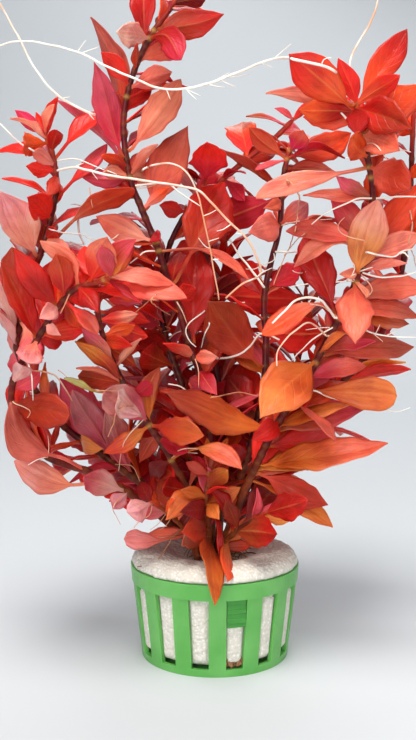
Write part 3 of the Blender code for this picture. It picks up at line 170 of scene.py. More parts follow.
LEAVES = {
    "tall_left": [
        leaf((160, 32), (224, 14), 29, FRONT, "brown_red", "dark_red"),
        leaf((146, 44), (140, -22), 26, BACK, "dark_red"),
        leaf((150, 39), (117, 32), 24, FRONT, "pale_pink"),
        leaf((150, 38), (181, 60), 26, FRONT, "deep_red", "crimson", [(168, 34)]),
        leaf((138, 66), (182, 42), 26, BACK, "coral", "crimson"),
        leaf((126, 94), (101, 52), 18, FRONT, "red", via=[(122, 72)]),
        leaf((131, 92), (172, 72), 20, FRONT, "coral", "clay"),
        leaf((127, 122), (152, 80), 20, BACK, "dark_red", "deep_red"),
        leaf((123, 122), (91, 17), 23, BACK, "brown_red", "clay"),
        leaf((121, 152), (94, 62), 27, FRONT, "crimson", "crimson_pink"),
        leaf((128, 150), (181, 79), 30, FRONT, "coral", "clay"),
        leaf((147, 212), (188, 126), 40, BACK, "coral", "clay"),
        leaf((172, 285), (223, 182), 50, BACK, "brown_red", "dark_red"),
        leaf((200, 347), (196, 247), 40, BACK, "dark_red"),
        leaf((151, 249), (96, 216), 26, FRONT, "salmon", "coral"),
        leaf((160, 250), (249, 280), 14, FRONT, "clay", "coral", [(197, 249), (225, 260)]),
        leaf((130, 180), (80, 176), 20, BACK, "crimson_pink"),
        leaf((134, 180), (170, 172), 24, BACK, "salmon"),
        leaf((151, 30), (164, -14), 9, BACK, "orange_red"),
        leaf((172, 12), (196, -12), 10, BACK, "orange_red"),
        leaf((175, 10), (206, -2), 16, FRONT, "maroon"),
        leaf((176, 11), (212, 16), 6, FRONT, "pale_pink"),
        leaf((172, 12), (168, 1), 5, FRONT, "crimson_pink"),
        leaf((178, -4), (171, -22), 8, BACK, "red"),
        leaf((182, -12), (186, -30), 8, FRONT, "red"),
        leaf((182, -12), (195, -24), 8, BACK, "orange_red"),
        leaf((135, 67), (137, 43), 7, FRONT, "brown_red"),
        leaf((121, 170), (57, 100), 8, BACK, "crimson_pink"),
        leaf((120, 170), (101, 155), 10, FRONT, "brown_red", "orange_red"),
        leaf((126, 181), (103, 172), 14, FRONT, "coral", "salmon"),
        leaf((132, 177), (158, 144), 10, FRONT, "coral", "salmon"),
        leaf((145, 213), (169, 187), 12, FRONT, "coral", "orange_red"),
        leaf((150, 222), (160, 240), 14, FRONT, "crimson"),
        leaf((158, 248), (128, 262), 20, BACK, "dark_red"),
        leaf((184, 325), (214, 318), 20, BACK, "red"),
    ],
    "right": [
        leaf((348, 99), (289, 54), 36, FRONT, "orange_red", "red"),
        leaf((350, 99), (338, 58), 22, FRONT, "red"),
        leaf((362, 92), (407, 29), 30, BACK, "orange_red", "dark_red"),
        leaf((361, 106), (411, 128), 32, FRONT, "dark_red", "brown_red"),
        leaf((358, 101), (400, 75), 24, FRONT, "orange_red", "red"),
        leaf((356, 105), (357, 134), 20, FRONT, "deep_red"),
        leaf((350, 103), (299, 110), 21, FRONT, "deep_red", "orange_red"),
        leaf((352, 130), (303, 117), 20, BACK, "orange_red"),
        leaf((366, 170), (351, 137), 22, FRONT, "orange_red"),
        leaf((364, 135), (399, 150), 28, FRONT, "salmon", "coral"),
        leaf((366, 138), (424, 84), 32, BACK, "brown_red", "orange_red"),
        leaf((366, 172), (256, 198), 21, FRONT, "salmon"),
        leaf((373, 168), (411, 189), 32, FRONT, "coral", "brown_red"),
        leaf((370, 272), (378, 199), 34, FRONT, "orange", "salmon"),
        leaf((357, 281), (355, 343), 34, FRONT, "coral"),
        leaf((372, 262), (420, 183), 30, BACK, "orange_red"),
        leaf((335, 315), (306, 233), 32, BACK, "dark_red"),
        leaf((332, 316), (262, 335), 20, FRONT, "coral", "orange_red", [(318, 307)]),
        leaf((325, 335), (268, 330), 40, BACK, "dark_red"),
        leaf((312, 357), (260, 418), 48, FRONT, "brown_orange", "orange"),
        leaf((321, 358), (414, 347), 25, BACK, "coral", "clay"),
        leaf((306, 388), (397, 396), 32, FRONT, "brown_orange", "orange"),
        leaf((270, 429), (167, 393), 34, FRONT, "brown_orange", "rust"),
        leaf((283, 432), (369, 407), 26, BACK, "clay", "crimson_pink"),
        leaf((270, 446), (336, 436), 32, BACK, "dark_red"),
        leaf((255, 465), (388, 443), 28, FRONT, "brown_orange", "coral"),
        leaf((252, 474), (328, 505), 28, FRONT, "brown_red"),
        leaf((250, 480), (333, 527), 18, FRONT, "brown_orange", "orange"),
        leaf((350, 103), (266, 93), 16, BACK, "coral", "salmon"),
        leaf((346, 98), (305, 88), 5, FRONT, "salmon"),
        leaf((368, 197), (303, 195), 12, BACK, "coral"),
        leaf((368, 196), (336, 176), 14, FRONT, "clay", "crimson_pink"),
        leaf((363, 240), (330, 197), 24, BACK, "clay", "crimson_pink"),
        leaf((362, 241), (286, 231), 20, BACK, "coral", "clay"),
        leaf((363, 241), (294, 267), 14, FRONT, "salmon", via=[(333, 243)]),
        leaf((378, 268), (420, 235), 20, BACK, "salmon"),
        leaf((364, 277), (407, 263), 9, FRONT, "salmon"),
        leaf((357, 272), (340, 274), 10, FRONT, "salmon"),
        leaf((364, 279), (367, 297), 6, FRONT, "salmon"),
        leaf((348, 302), (424, 287), 24, BACK, "clay", "coral"),
        leaf((345, 306), (420, 318), 18, BACK, "coral", "clay"),
        leaf((340, 314), (409, 324), 20, BACK, "brown_orange", "clay"),
        leaf((322, 352), (376, 341), 12, FRONT, "clay", "crimson_pink"),
        leaf((325, 352), (345, 333), 7, FRONT, "orange"),
        leaf((306, 382), (366, 366), 18, FRONT, "crimson_pink", "coral"),
        leaf((303, 388), (305, 407), 18, FRONT, "dark_red"),
        leaf((278, 429), (357, 402), 15, FRONT, "brown_orange", "orange"),
        leaf((284, 405), (334, 441), 8, FRONT, "coral", "clay"),
        leaf((252, 472), (336, 462), 22, BACK, "orange"),
        leaf((278, 425), (252, 440), 20, FRONT, "dark_red"),
    ],
    "far_left": [
        leaf((37, 259), (0, 191), 37, FRONT, "salmon", "rose"),
        leaf((50, 245), (134, 188), 27, FRONT, "clay", "brown_red"),
        leaf((54, 222), (27, 197), 28, FRONT, "red"),
        leaf((60, 164), (107, 110), 15, BACK, "red"),
        leaf((32, 316), (12, 247), 34, FRONT, "dark_red", "brown_red"),
        leaf((30, 310), (58, 257), 22, FRONT, "dark_red"),
        leaf((24, 328), (-2, 270), 24, BACK, "dark_red"),
        leaf((110, 444), (60, 378), 32, FRONT, "crimson_pink"),
        leaf((97, 461), (11, 400), 34, BACK, "coral", "dull_pink", [(60, 452)]),
        leaf((41, 132), (15, 110), 13, FRONT, "crimson", "magenta"),
        leaf((40, 133), (10, 118), 6, FRONT, "salmon"),
        leaf((44, 131), (58, 97), 11, FRONT, "red"),
        leaf((44, 130), (36, 112), 8, FRONT, "red"),
        leaf((49, 140), (54, 104), 7, FRONT, "salmon"),
        leaf((55, 160), (57, 130), 14, FRONT, "dark_red"),
        leaf((52, 153), (24, 143), 22, FRONT, "orange_red"),
        leaf((52, 163), (33, 151), 14, FRONT, "salmon"),
        leaf((52, 163), (-4, 152), 11, BACK, "red"),
        leaf((57, 166), (26, 166), 16, FRONT, "red"),
        leaf((56, 168), (47, 197), 14, FRONT, "brown_red"),
        leaf((54, 196), (2, 178), 6, FRONT, "red", via=[(30, 186)]),
        leaf((58, 204), (107, 144), 14, BACK, "red", "crimson_pink"),
        leaf((50, 245), (56, 228), 14, FRONT, "dark_red"),
        leaf((46, 243), (71, 256), 14, FRONT, "salmon"),
        leaf((46, 290), (38, 250), 14, BACK, "red"),
        leaf((20, 335), (-4, 275), 12, FRONT, "dull_pink"),
        leaf((16, 350), (-2, 310), 10, FRONT, "dull_pink"),
        leaf((20, 335), (36, 365), 24, FRONT, "salmon"),
        leaf((20, 362), (14, 394), 17, FRONT, "crimson_pink"),
        leaf((115, 455), (84, 392), 18, BACK, "crimson"),
        leaf((133, 475), (106, 398), 26, FRONT, "crimson_pink", "dull_pink"),
        leaf((90, 448), (103, 449), 16, FRONT, "orange"),
        leaf((50, 410), (45, 362), 8, BACK, "coral", "orange"),
    ],
    "left_bow": [
        leaf((84, 284), (107, 237), 30, FRONT, "red", "coral"),
        leaf((84, 286), (187, 298), 22, FRONT, "red", "coral"),
        leaf((104, 278), (101, 246), 16, FRONT, "crimson_pink"),
        leaf((112, 277), (134, 243), 16, BACK, "orange", "dark_red"),
        leaf((112, 277), (173, 285), 14, BACK, "salmon", "coral"),
        leaf((98, 282), (141, 304), 8, FRONT, "crimson"),
        leaf((64, 298), (98, 335), 15, FRONT, "red", "coral"),
        leaf((60, 303), (46, 341), 22, FRONT, "brown_red"),
        leaf((78, 287), (98, 312), 18, FRONT, "dark_red"),
        leaf((20, 398), (70, 415), 32, FRONT, "brown_red"),
        leaf((40, 336), (43, 300), 20, FRONT, "crimson_pink"),
        leaf((14, 392), (40, 372), 18, BACK, "crimson_pink"),
        leaf((90, 472), (14, 461), 30, FRONT, "salmon", "dull_pink"),
        leaf((133, 496), (83, 477), 26, FRONT, "dull_pink", "crimson_pink"),
        leaf((136, 498), (113, 509), 16, FRONT, "dull_pink"),
        leaf((48, 457), (24, 440), 16, FRONT, "dull_pink"),
    ],
    "inner_left": [
        leaf((149, 424), (160, 367), 26, BACK, "brown_orange", "rust"),
        leaf((152, 425), (204, 436), 26, FRONT, "brown_red", "brown_orange"),
        leaf((173, 460), (242, 467), 17, FRONT, "brown_orange", "orange", [(206, 450)]),
        leaf((160, 440), (188, 452), 18, FRONT, "crimson"),
        leaf((113, 366), (82, 328), 14, FRONT, "salmon", "crimson_pink"),
        leaf((121, 380), (75, 341), 12, FRONT, "brown_red", "brown_orange"),
        leaf((110, 352), (88, 362), 20, FRONT, "dark_red", "brown_red"),
        leaf((118, 374), (76, 368), 5, FRONT, "coral"),
        leaf((115, 367), (141, 338), 8, FRONT, "salmon"),
        leaf((99, 300), (116, 288), 12, FRONT, "dark_red"),
        leaf((99, 288), (84, 262), 14, BACK, "dark_red"),
        leaf((103, 318), (138, 314), 14, FRONT, "red", "salmon"),
        leaf((103, 332), (135, 325), 14, FRONT, "orange_red"),
        leaf((108, 338), (132, 346), 14, FRONT, "orange_red", "red"),
        leaf((101, 325), (72, 312), 16, BACK, "red"),
        leaf((133, 402), (106, 392), 22, BACK, "brown_red"),
        leaf((137, 410), (103, 430), 16, FRONT, "orange"),
        leaf((180, 475), (150, 470), 24, BACK, "brown_red"),
        leaf((190, 492), (163, 486), 20, FRONT, "dark_red"),
        leaf((130, 396), (152, 384), 16, FRONT, "crimson"),
    ],
    "middle": [
        leaf((205, 186), (207, 142), 36, FRONT, "crimson", "red"),
        leaf((196, 196), (161, 157), 14, FRONT, "dull_pink", "pale_pink"),
        leaf((168, 345), (215, 358), 16, FRONT, "salmon"),
        leaf((169, 348), (137, 350), 28, FRONT, "dark_red"),
        leaf((162, 312), (128, 322), 26, FRONT, "crimson_pink"),
        leaf((178, 365), (222, 335), 28, BACK, "dark_red", "red"),
        leaf((187, 420), (146, 396), 26, BACK, "dark_red"),
        leaf((187, 420), (228, 392), 26, BACK, "crimson"),
        leaf((160, 285), (126, 252), 24, BACK, "dark_red"),
        leaf((164, 265), (208, 240), 26, BACK, "dark_red", "red"),
        leaf((192, 458), (160, 452), 24, FRONT, "dark_red"),
        leaf((194, 470), (232, 450), 24, BACK, "brown_red"),
        leaf((186, 214), (160, 205), 18, BACK, "red"),
    ],
    "back_middle": [
        leaf((215, 303), (300, 298), 38, BACK, "red"),
        leaf((244, 160), (243, 122), 36, BACK, "red", "brown_orange"),
        leaf((207, 303), (248, 276), 18, FRONT, "maroon"),
        leaf((219, 182), (245, 201), 16, FRONT, "crimson"),
        leaf((225, 178), (246, 173), 5, FRONT, "crimson"),
        leaf((288, 124), (246, 116), 5, FRONT, "crimson_pink", "brown_orange"),
        leaf((293, 120), (275, 108), 6, FRONT, "crimson_pink"),
        leaf((294, 119), (310, 100), 8, BACK, "red"),
        leaf((206, 240), (232, 215), 22, BACK, "dark_red"),
        leaf((206, 245), (178, 222), 22, BACK, "red"),
        leaf((219, 388), (192, 368), 24, BACK, "dark_red"),
        leaf((220, 392), (256, 368), 24, BACK, "dark_red"),
        leaf((222, 445), (196, 430), 22, BACK, "brown_red"),
    ],
    "back_right": [
        leaf((264, 372), (208, 301), 55, FRONT, "brown_red", "rust"),
        leaf((275, 200), (204, 231), 34, BACK, "crimson", "dark_red"),
        leaf((282, 228), (249, 232), 30, FRONT, "coral", "salmon"),
        leaf((286, 160), (351, 133), 30, BACK, "brown_red", "orange_red"),
        leaf((284, 163), (249, 127), 20, FRONT, "brown_red"),
        leaf((290, 150), (303, 130), 22, FRONT, "magenta", "coral"),
        leaf((282, 163), (255, 170), 5, FRONT, "crimson_pink"),
        leaf((282, 185), (216, 147), 12, BACK, "brown_red", "clay"),
        leaf((284, 168), (336, 172), 20, BACK, "brown_red", "clay"),
        leaf((288, 155), (345, 158), 8, FRONT, "crimson", "deep_red", [(315, 150)]),
        leaf((282, 200), (264, 208), 13, FRONT, "coral"),
        leaf((280, 230), (308, 203), 22, FRONT, "coral", "dull_pink"),
        leaf((262, 410), (212, 385), 30, BACK, "crimson"),
        leaf((262, 400), (238, 365), 28, BACK, "dark_red"),
        leaf((266, 345), (300, 318), 24, BACK, "dark_red"),
        leaf((266, 295), (240, 262), 24, BACK, "dark_red"),
        leaf((268, 285), (302, 262), 24, BACK, "crimson"),
        leaf((246, 460), (218, 448), 20, FRONT, "dark_red"),
        leaf((245, 465), (282, 455), 22, BACK, "brown_red"),
    ],
    "far_right": [
        leaf((405, 250), (384, 222), 18, BACK, "crimson"),
        leaf((406, 245), (424, 215), 16, FRONT, "orange_red"),
        leaf((411, 190), (394, 162), 14, BACK, "red"),
        leaf((411, 185), (426, 160), 14, FRONT, "orange_red"),
        leaf((414, 112), (400, 92), 12, FRONT, "orange_red"),
        leaf((414, 112), (426, 84), 14, BACK, "red"),
        leaf((412, 140), (396, 128), 12, BACK, "orange_red"),
        leaf((352, 372), (406, 362), 8, FRONT, "orange"),
        leaf((345, 382), (411, 369), 12, FRONT, "red"),
        leaf((375, 345), (346, 322), 22, BACK, "dark_red"),
        leaf((340, 386), (318, 352), 22, BACK, "crimson"),
        leaf((300, 430), (280, 396), 22, BACK, "dark_red"),
        leaf((302, 428), (338, 420), 20, FRONT, "brown_red"),
    ],
    "low_front": [
        leaf((209, 476), (207, 438), 7, BACK, "brown_red", "brown_orange"),
        leaf((206, 490), (228, 470), 18, FRONT, "rust", "brown_orange"),
        leaf((207, 505), (241, 487), 18, BACK, "brown_orange", "orange"),
        leaf((208, 502), (219, 519), 15, FRONT, "brown_orange", "orange"),
        leaf((206, 498), (181, 490), 14, FRONT, "brown_orange"),
        leaf((208, 478), (186, 462), 12, BACK, "brown_red"),
        leaf((208, 530), (182, 532), 26, FRONT, "brown_red"),
        leaf((209, 540), (215, 605), 19, FRONT, "rust", "brown_orange", [(212, 562)]),
        leaf((209, 505), (222, 563), 5, FRONT, "dark_red", via=[(217, 522), (219, 545)]),
        leaf((207, 512), (180, 512), 20, FRONT, "maroon"),
    ],
    "low_right": [
        leaf((240, 528), (286, 478), 34, BACK, "maroon"),
        leaf((258, 516), (308, 500), 26, FRONT, "deep_red", "dark_red"),
        leaf((262, 515), (292, 519), 13, FRONT, "orange"),
        leaf((232, 536), (277, 534), 30, FRONT, "rust", "dark_red"),
        leaf((225, 544), (229, 601), 16, FRONT, "brown_orange", "orange_red", [(226, 564)]),
        leaf((240, 528), (226, 500), 16, FRONT, "rust"),
    ],
    "low_left": [
        leaf((186, 530), (124, 539), 20, FRONT, "clay", "dull_pink", [(160, 538)]),
        leaf((152, 503), (127, 512), 24, FRONT, "dull_pink", "rose"),
        leaf((166, 512), (136, 514), 13, FRONT, "dull_pink", "crimson_pink"),
        leaf((172, 514), (160, 480), 20, BACK, "rust"),
        leaf((154, 504), (140, 482), 16, BACK, "maroon"),
        leaf((186, 530), (200, 505), 16, FRONT, "maroon"),
    ],
}

# Grown-on leaves of the solids whose fine blades stand elsewhere among the ones below
LEFT_OUT = {
    "middle_leaf_03", "far_left_leaf_28", "far_left_leaf_32", "left_bow_leaf_08", "left_bow_leaf_11",
    "left_bow_leaf_16", "inner_left_leaf_03", "inner_left_leaf_07", "inner_left_leaf_17", "right_leaf_48",
}

# Finer leaves than the solids have, between and over their leaves
FINE_LEAVES = {
    "left_bow": [
        leaf((54, 309), (14, 249), 26, FRONT, "deep_red", "dark_red"),
        leaf((38, 337), (1, 262), 22, FRONT, "dark_red", "brown_red"),
        leaf((58, 304), (56, 254), 22, FRONT, "dark_red", "brown_red"),
        leaf((67, 296), (73, 250), 20, BACK, "dark_red"),
        leaf((80, 287), (40, 241), 15, FRONT, "coral", "salmon", [(70, 262)]),
        leaf((102, 279), (136, 239), 20, FRONT, "orange", "crimson_pink", [(117, 258)]),
        leaf((92, 283), (84, 246), 24, BACK, "red"),
        leaf((66, 299), (99, 299), 20, BACK, "red"),
        leaf((42, 341), (87, 328), 22, BACK, "orange_red", "red", [(64, 331)]),
        leaf((60, 303), (80, 328), 18, BACK, "brown_red", "orange_red"),
        leaf((42, 336), (62, 343), 13, BACK, "dark_red"),
        leaf((56, 311), (40, 318), 16, FRONT, "rose"),
        leaf((47, 322), (60, 335), 10, FRONT, "rose"),
        leaf((104, 279), (150, 270), 18, BACK, "red", "salmon"),
        leaf((106, 279), (166, 292), 15, BACK, "orange_red", "red"),
        leaf((38, 339), (29, 363), 24, FRONT, "salmon", "rose"),
        leaf((14, 394), (23, 366), 17, FRONT, "rose"),
        leaf((88, 472), (10, 402), 27, FRONT, "coral", "clay", [(66, 460), (43, 453), (21, 437)], 7),
    ],
    "far_left": [
        leaf((19, 322), (30, 361), 24, FRONT, "salmon", "crimson_pink", [(26, 336)]),
        leaf((18, 354), (1, 284), 16, BACK, "salmon", "dull_pink"),
        leaf((20, 366), (8, 318), 12, BACK, "dull_pink"),
        leaf((112, 458), (72, 390), 30, BACK, "crimson_pink", "dull_pink"),
        leaf((118, 462), (90, 388), 26, BACK, "crimson", "crimson_pink"),
        leaf((100, 452), (64, 408), 24, BACK, "dull_pink", "crimson_pink"),
        leaf((130, 474), (104, 456), 20, BACK, "brown_red"),
        leaf((138, 480), (118, 450), 22, BACK, "maroon", "brown_red"),
        leaf((142, 484), (140, 452), 20, BACK, "dark_red"),
        leaf((60, 424), (52, 450), 7, BACK, "coral"),
        leaf((46, 403), (30, 392), 9, BACK, "crimson_pink"),
    ],
    "inner_left": [
        leaf((148, 424), (104, 391), 32, FRONT, "crimson_pink", "rose"),
        leaf((151, 427), (104, 453), 17, FRONT, "orange", "orange_red"),
        leaf((121, 384), (78, 376), 22, BACK, "brown_red", "rust"),
        leaf((128, 392), (64, 378), 4, FRONT, "brown_orange", "straw", [(98, 391)]),
        leaf((143, 414), (118, 398), 24, FRONT, "rose", "pale_pink"),
        leaf((112, 362), (77, 341), 12, FRONT, "brown_red", "brown_orange"),
        leaf((99, 302), (143, 301), 18, BACK, "red", "crimson_pink"),
        leaf((100, 310), (150, 322), 22, BACK, "dark_red", "red"),
        leaf((101, 320), (148, 337), 20, BACK, "crimson_pink", "red"),
        leaf((104, 330), (140, 350), 20, BACK, "orange_red", "red"),
        leaf((106, 342), (136, 366), 18, BACK, "brown_red"),
        leaf((152, 428), (190, 448), 22, BACK, "crimson_pink", "crimson"),
        leaf((135, 405), (120, 384), 18, BACK, "pale_pink", "crimson_pink"),
        leaf((160, 442), (140, 462), 18, BACK, "brown_red"),
        leaf((168, 455), (150, 476), 18, BACK, "maroon"),
        leaf((173, 460), (242, 469), 16, FRONT, "orange", "coral", [(187, 451), (204, 448), (223, 456)], 9),
    ],
    "tall_left": [
        leaf((196, 359), (163, 343), 11, FRONT, "coral", "red"),
        leaf((197, 359), (217, 357), 14, FRONT, "coral", "salmon"),
        leaf((199, 364), (217, 395), 18, FRONT, "crimson", "crimson_pink"),
        leaf((203, 384), (184, 408), 16, BACK, "crimson_pink", "crimson"),
        leaf((207, 398), (190, 378), 16, BACK, "crimson_pink"),
        leaf((180, 312), (160, 300), 16, BACK, "crimson"),
        leaf((176, 300), (196, 288), 18, BACK, "dark_red"),
    ],
    "middle": [
        leaf((168, 348), (133, 337), 24, FRONT, "brown_red", "red"),
        leaf((176, 370), (142, 352), 28, FRONT, "brown_red", "dark_red"),
        leaf((180, 382), (158, 400), 24, BACK, "dark_red"),
        leaf((163, 325), (138, 308), 20, FRONT, "crimson_pink", "red"),
        leaf((184, 400), (162, 380), 20, BACK, "crimson"),
        leaf((160, 300), (138, 292), 18, BACK, "dark_red"),
        leaf((190, 440), (168, 428), 22, BACK, "brown_red"),
        leaf((190, 450), (214, 428), 22, BACK, "crimson"),
        leaf((194, 474), (176, 470), 20, FRONT, "crimson"),
    ],
    "right": [
        leaf((284, 402), (335, 441), 8, FRONT, "coral", "clay", [(306, 409), (324, 424)]),
    ],
    "back_right": [
        leaf((263, 376), (238, 336), 30, BACK, "brown_orange", "orange_red"),
        leaf((258, 426), (227, 377), 34, BACK, "dark_red", "maroon"),
        leaf((250, 446), (228, 438), 18, BACK, "crimson"),
    ],
    "low_front": [
        leaf((208, 476), (228, 438), 10, BACK, "rust", "brown_orange"),
        leaf((208, 482), (194, 456), 14, BACK, "crimson"),
        leaf((208, 484), (217, 458), 10, BACK, "coral"),
        leaf((206, 498), (166, 520), 22, FRONT, "brown_orange", "orange", [(184, 498)]),
        leaf((208, 540), (184, 535), 24, FRONT, "brown_red", "clay"),
    ],
    "low_right": [
        leaf((226, 540), (256, 514), 17, FRONT, "brown_orange", "orange_red"),
        leaf((224, 543), (252, 545), 12, FRONT, "rust", "brown_red"),
    ],
}

# Leaves whose stalks take more than a tenth of their length, and blades narrower than their solids
LONG_STALKS = {
    "tall_left_leaf_16": 0.42, "inner_left_fine_16": 0.42, "tall_left_leaf_13": 0.3, "far_left_leaf_04": 0.3,
    "far_left_leaf_02": 0.38, "far_left_leaf_09": 0.42, "far_left_leaf_22": 0.3, "left_bow_leaf_07": 0.28,
    "left_bow_leaf_13": 0.3, "low_left_leaf_01": 0.4, "right_leaf_12": 0.22, "right_leaf_18": 0.36,
    "right_leaf_35": 0.3, "inner_left_fine_04": 0.5, "left_bow_fine_18": 0.4, "tall_left_fine_01": 0.03,
}
NARROWER = {
    "back_right_leaf_01": 0.85, "far_left_leaf_09": 0.75, "tall_left_leaf_16": 0.6, "right_leaf_02": 0.8,
    "right_leaf_03": 0.85, "right_leaf_05": 0.8, "inner_left_leaf_01": 0.75,
}

# How fast a blade widens from its stalk and narrows to its tip, where the view shows its belly off its middle
BLADE_FORMS = {
    "far_left_leaf_02": (1.2, 0.7), "far_left_fine_01": (1.5, 0.45), "left_bow_leaf_10": (0.9, 0.5),
    "left_bow_fine_16": (1.4, 0.45), "low_left_leaf_01": (1.2, 0.5), "right_leaf_12": (1.3, 0.75),
    "right_leaf_22": (1.3, 0.5), "right_leaf_18": (0.9, 0.7), "far_left_leaf_22": (1.2, 0.9),
}

# How far a leaf bends to the left of its way, as a share of its length
BOWS = {"right_leaf_26": -0.06, "right_leaf_23": 0.055, "left_bow_leaf_13": 0.13, "inner_left_leaf_01": 0.12}

# Shoots at the back bear pairs of opposite leaves, each pair turned a quarter round from the last
PAIRED = {
    "rear_left": ((0.36, 0.52, 0.67, 0.8, 0.91, 0.99), 20, "dark_red"),
    "rear_right": ((0.36, 0.52, 0.67, 0.8, 0.91, 0.99), 70, "brown_red"),
    "rear_middle": ((0.3, 0.45, 0.6, 0.73, 0.84, 0.93, 0.99), 35, "dark_red"),
    "rear_low": ((0.4, 0.62, 0.82, 0.98), 10, "crimson"),
}
PAIR_LENGTH = (31, 17)
PAIR_RISE = (0.25, 0.95)

# The colours of the hidden leaves, and the shoots whose tips are closed by small young leaves
HIDDEN_COLOURS = (
    "dark_red", "dark_red", "red", "brown_red", "crimson", "orange_red", "crimson_pink", "coral")
YOUNG_TIPS = (
    "middle", "rear_left", "rear_right", "rear_middle", "rear_low", "low_front", "low_right", "low_left")


def root(shoot_name, route, depths):
    """A water root that leaves a stem at the route's first pixel."""
    return SimpleNamespace(shoot=shoot_name, route=route, depths=depths)


# The share of a root's length, from its stem, that passes behind leaves
BEHIND = {
    "root_long_top": 0.11, "root_crown": 0.42, "root_upper_left": 0.38, "root_hanging": 0.2,
    "root_inner": 0.33, "root_high_left": 0.21,
}

# The tones of the main roots, spread along them from their stems, and the thinner ones
ROOT_TONES = {
    "root_hanging": (1.0, 0.1, 0.3, 0.6, 0.8), "root_across": (0.0, 0.8), "root_crown": (0.1, 0.5),
    "root_high_left": (0.0, 0.35), "root_long_top": (0.1, 0.2), "root_right_low": (0.5, 0.5),
}
ROOT_SIZES = {"root_right_low": 0.28, "root_hanging": 0.3, "root_upper_left": 0.3}

# Pixels of the joints whose rings show yellow, with the strength of the yellow
YELLOW_JOINTS = {
    "left_bow": [(106, 278, 1.0)],
    "tall_left": [(157, 249, 0.8), (122, 94, 0.7), (152, 32, 0.8), (126, 176, 0.6)],
    "right": [
        (362, 133, 0.7), (369, 171, 0.8), (356, 279, 0.9), (336, 318, 0.6), (313, 357, 0.7),
        (306, 387, 0.8)],
    "back_right": [(290, 157, 0.7)],
    "inner_left": [(150, 424, 0.8), (173, 458, 0.8)],
}
FAINT_YELLOW = 0.1
JOINT_PIXELS = 7

# The main water roots, in the order of the solids
ROOTS = {
    "root_long_top": root(
        "right",
        [(355, 106), (347, 84), (335, 70), (315, 65), (300, 61), (280, 58), (255, 65), (226, 78), (200, 86),
         (170, 90), (148, 84), (110, 68), (77, 52), (40, 43), (20, 41), (-6, 47)],
        (-33, -38, -34, -30, -26, -20, -15)),
    "root_high_left": root(
        "tall_left",
        [(124, 126), (105, 118), (88, 112), (60, 97), (40, 76), (30, 60), (20, 40), (0, 4)],
        (-4, -12, -13, -12)),
    "root_upper_left": root(
        "far_left", [(55, 165), (40, 155), (20, 143), (10, 134), (0, 124)], (-4, -9, -12, -12)),
    "root_crown": root(
        "right", [(356, 108), (349, 80), (352, 54), (362, 38), (372, 20), (380, -6)], (-33, -31, -27, -24)),
    "root_across": root(
        "far_left",
        [(57, 172), (75, 167), (90, 171), (120, 177), (150, 181), (177, 186), (196, 189), (213, 204),
         (230, 223), (250, 243), (260, 270), (256, 279), (240, 285), (226, 298)],
        (-4, -16, -22, -25, -26, -26)),
    "root_hanging": root(
        "tall_left",
        [(130, 178), (148, 167), (167, 163), (184, 168), (196, 190), (204, 222), (213, 265), (219, 300)],
        (-4, -12, -16, -18, -19)),
    "root_right_arc": root(
        "right", [(339, 318), (325, 304), (315, 298), (300, 298), (286, 310), (272, 323)], (-21, -27, -29)),
    "root_right_low": root(
        "right", [(332, 332), (310, 323), (296, 330), (283, 342), (274, 358), (277, 366)], (-20, -30, -32)),
    "root_inner": root(
        "middle",
        [(176, 368), (195, 362), (215, 358), (236, 356), (256, 341), (262, 333), (280, 340)],
        (14, 4, -7, -10)),
}


def strand(shoot_name, route, tone=0.0, radius=0.24, depth=None):
    """A thin root over the leaves in front, or at one depth, from white at tone 0 to tan at tone 1."""
    return SimpleNamespace(shoot=shoot_name, route=route, tone=tone, radius=radius, depth=depth)


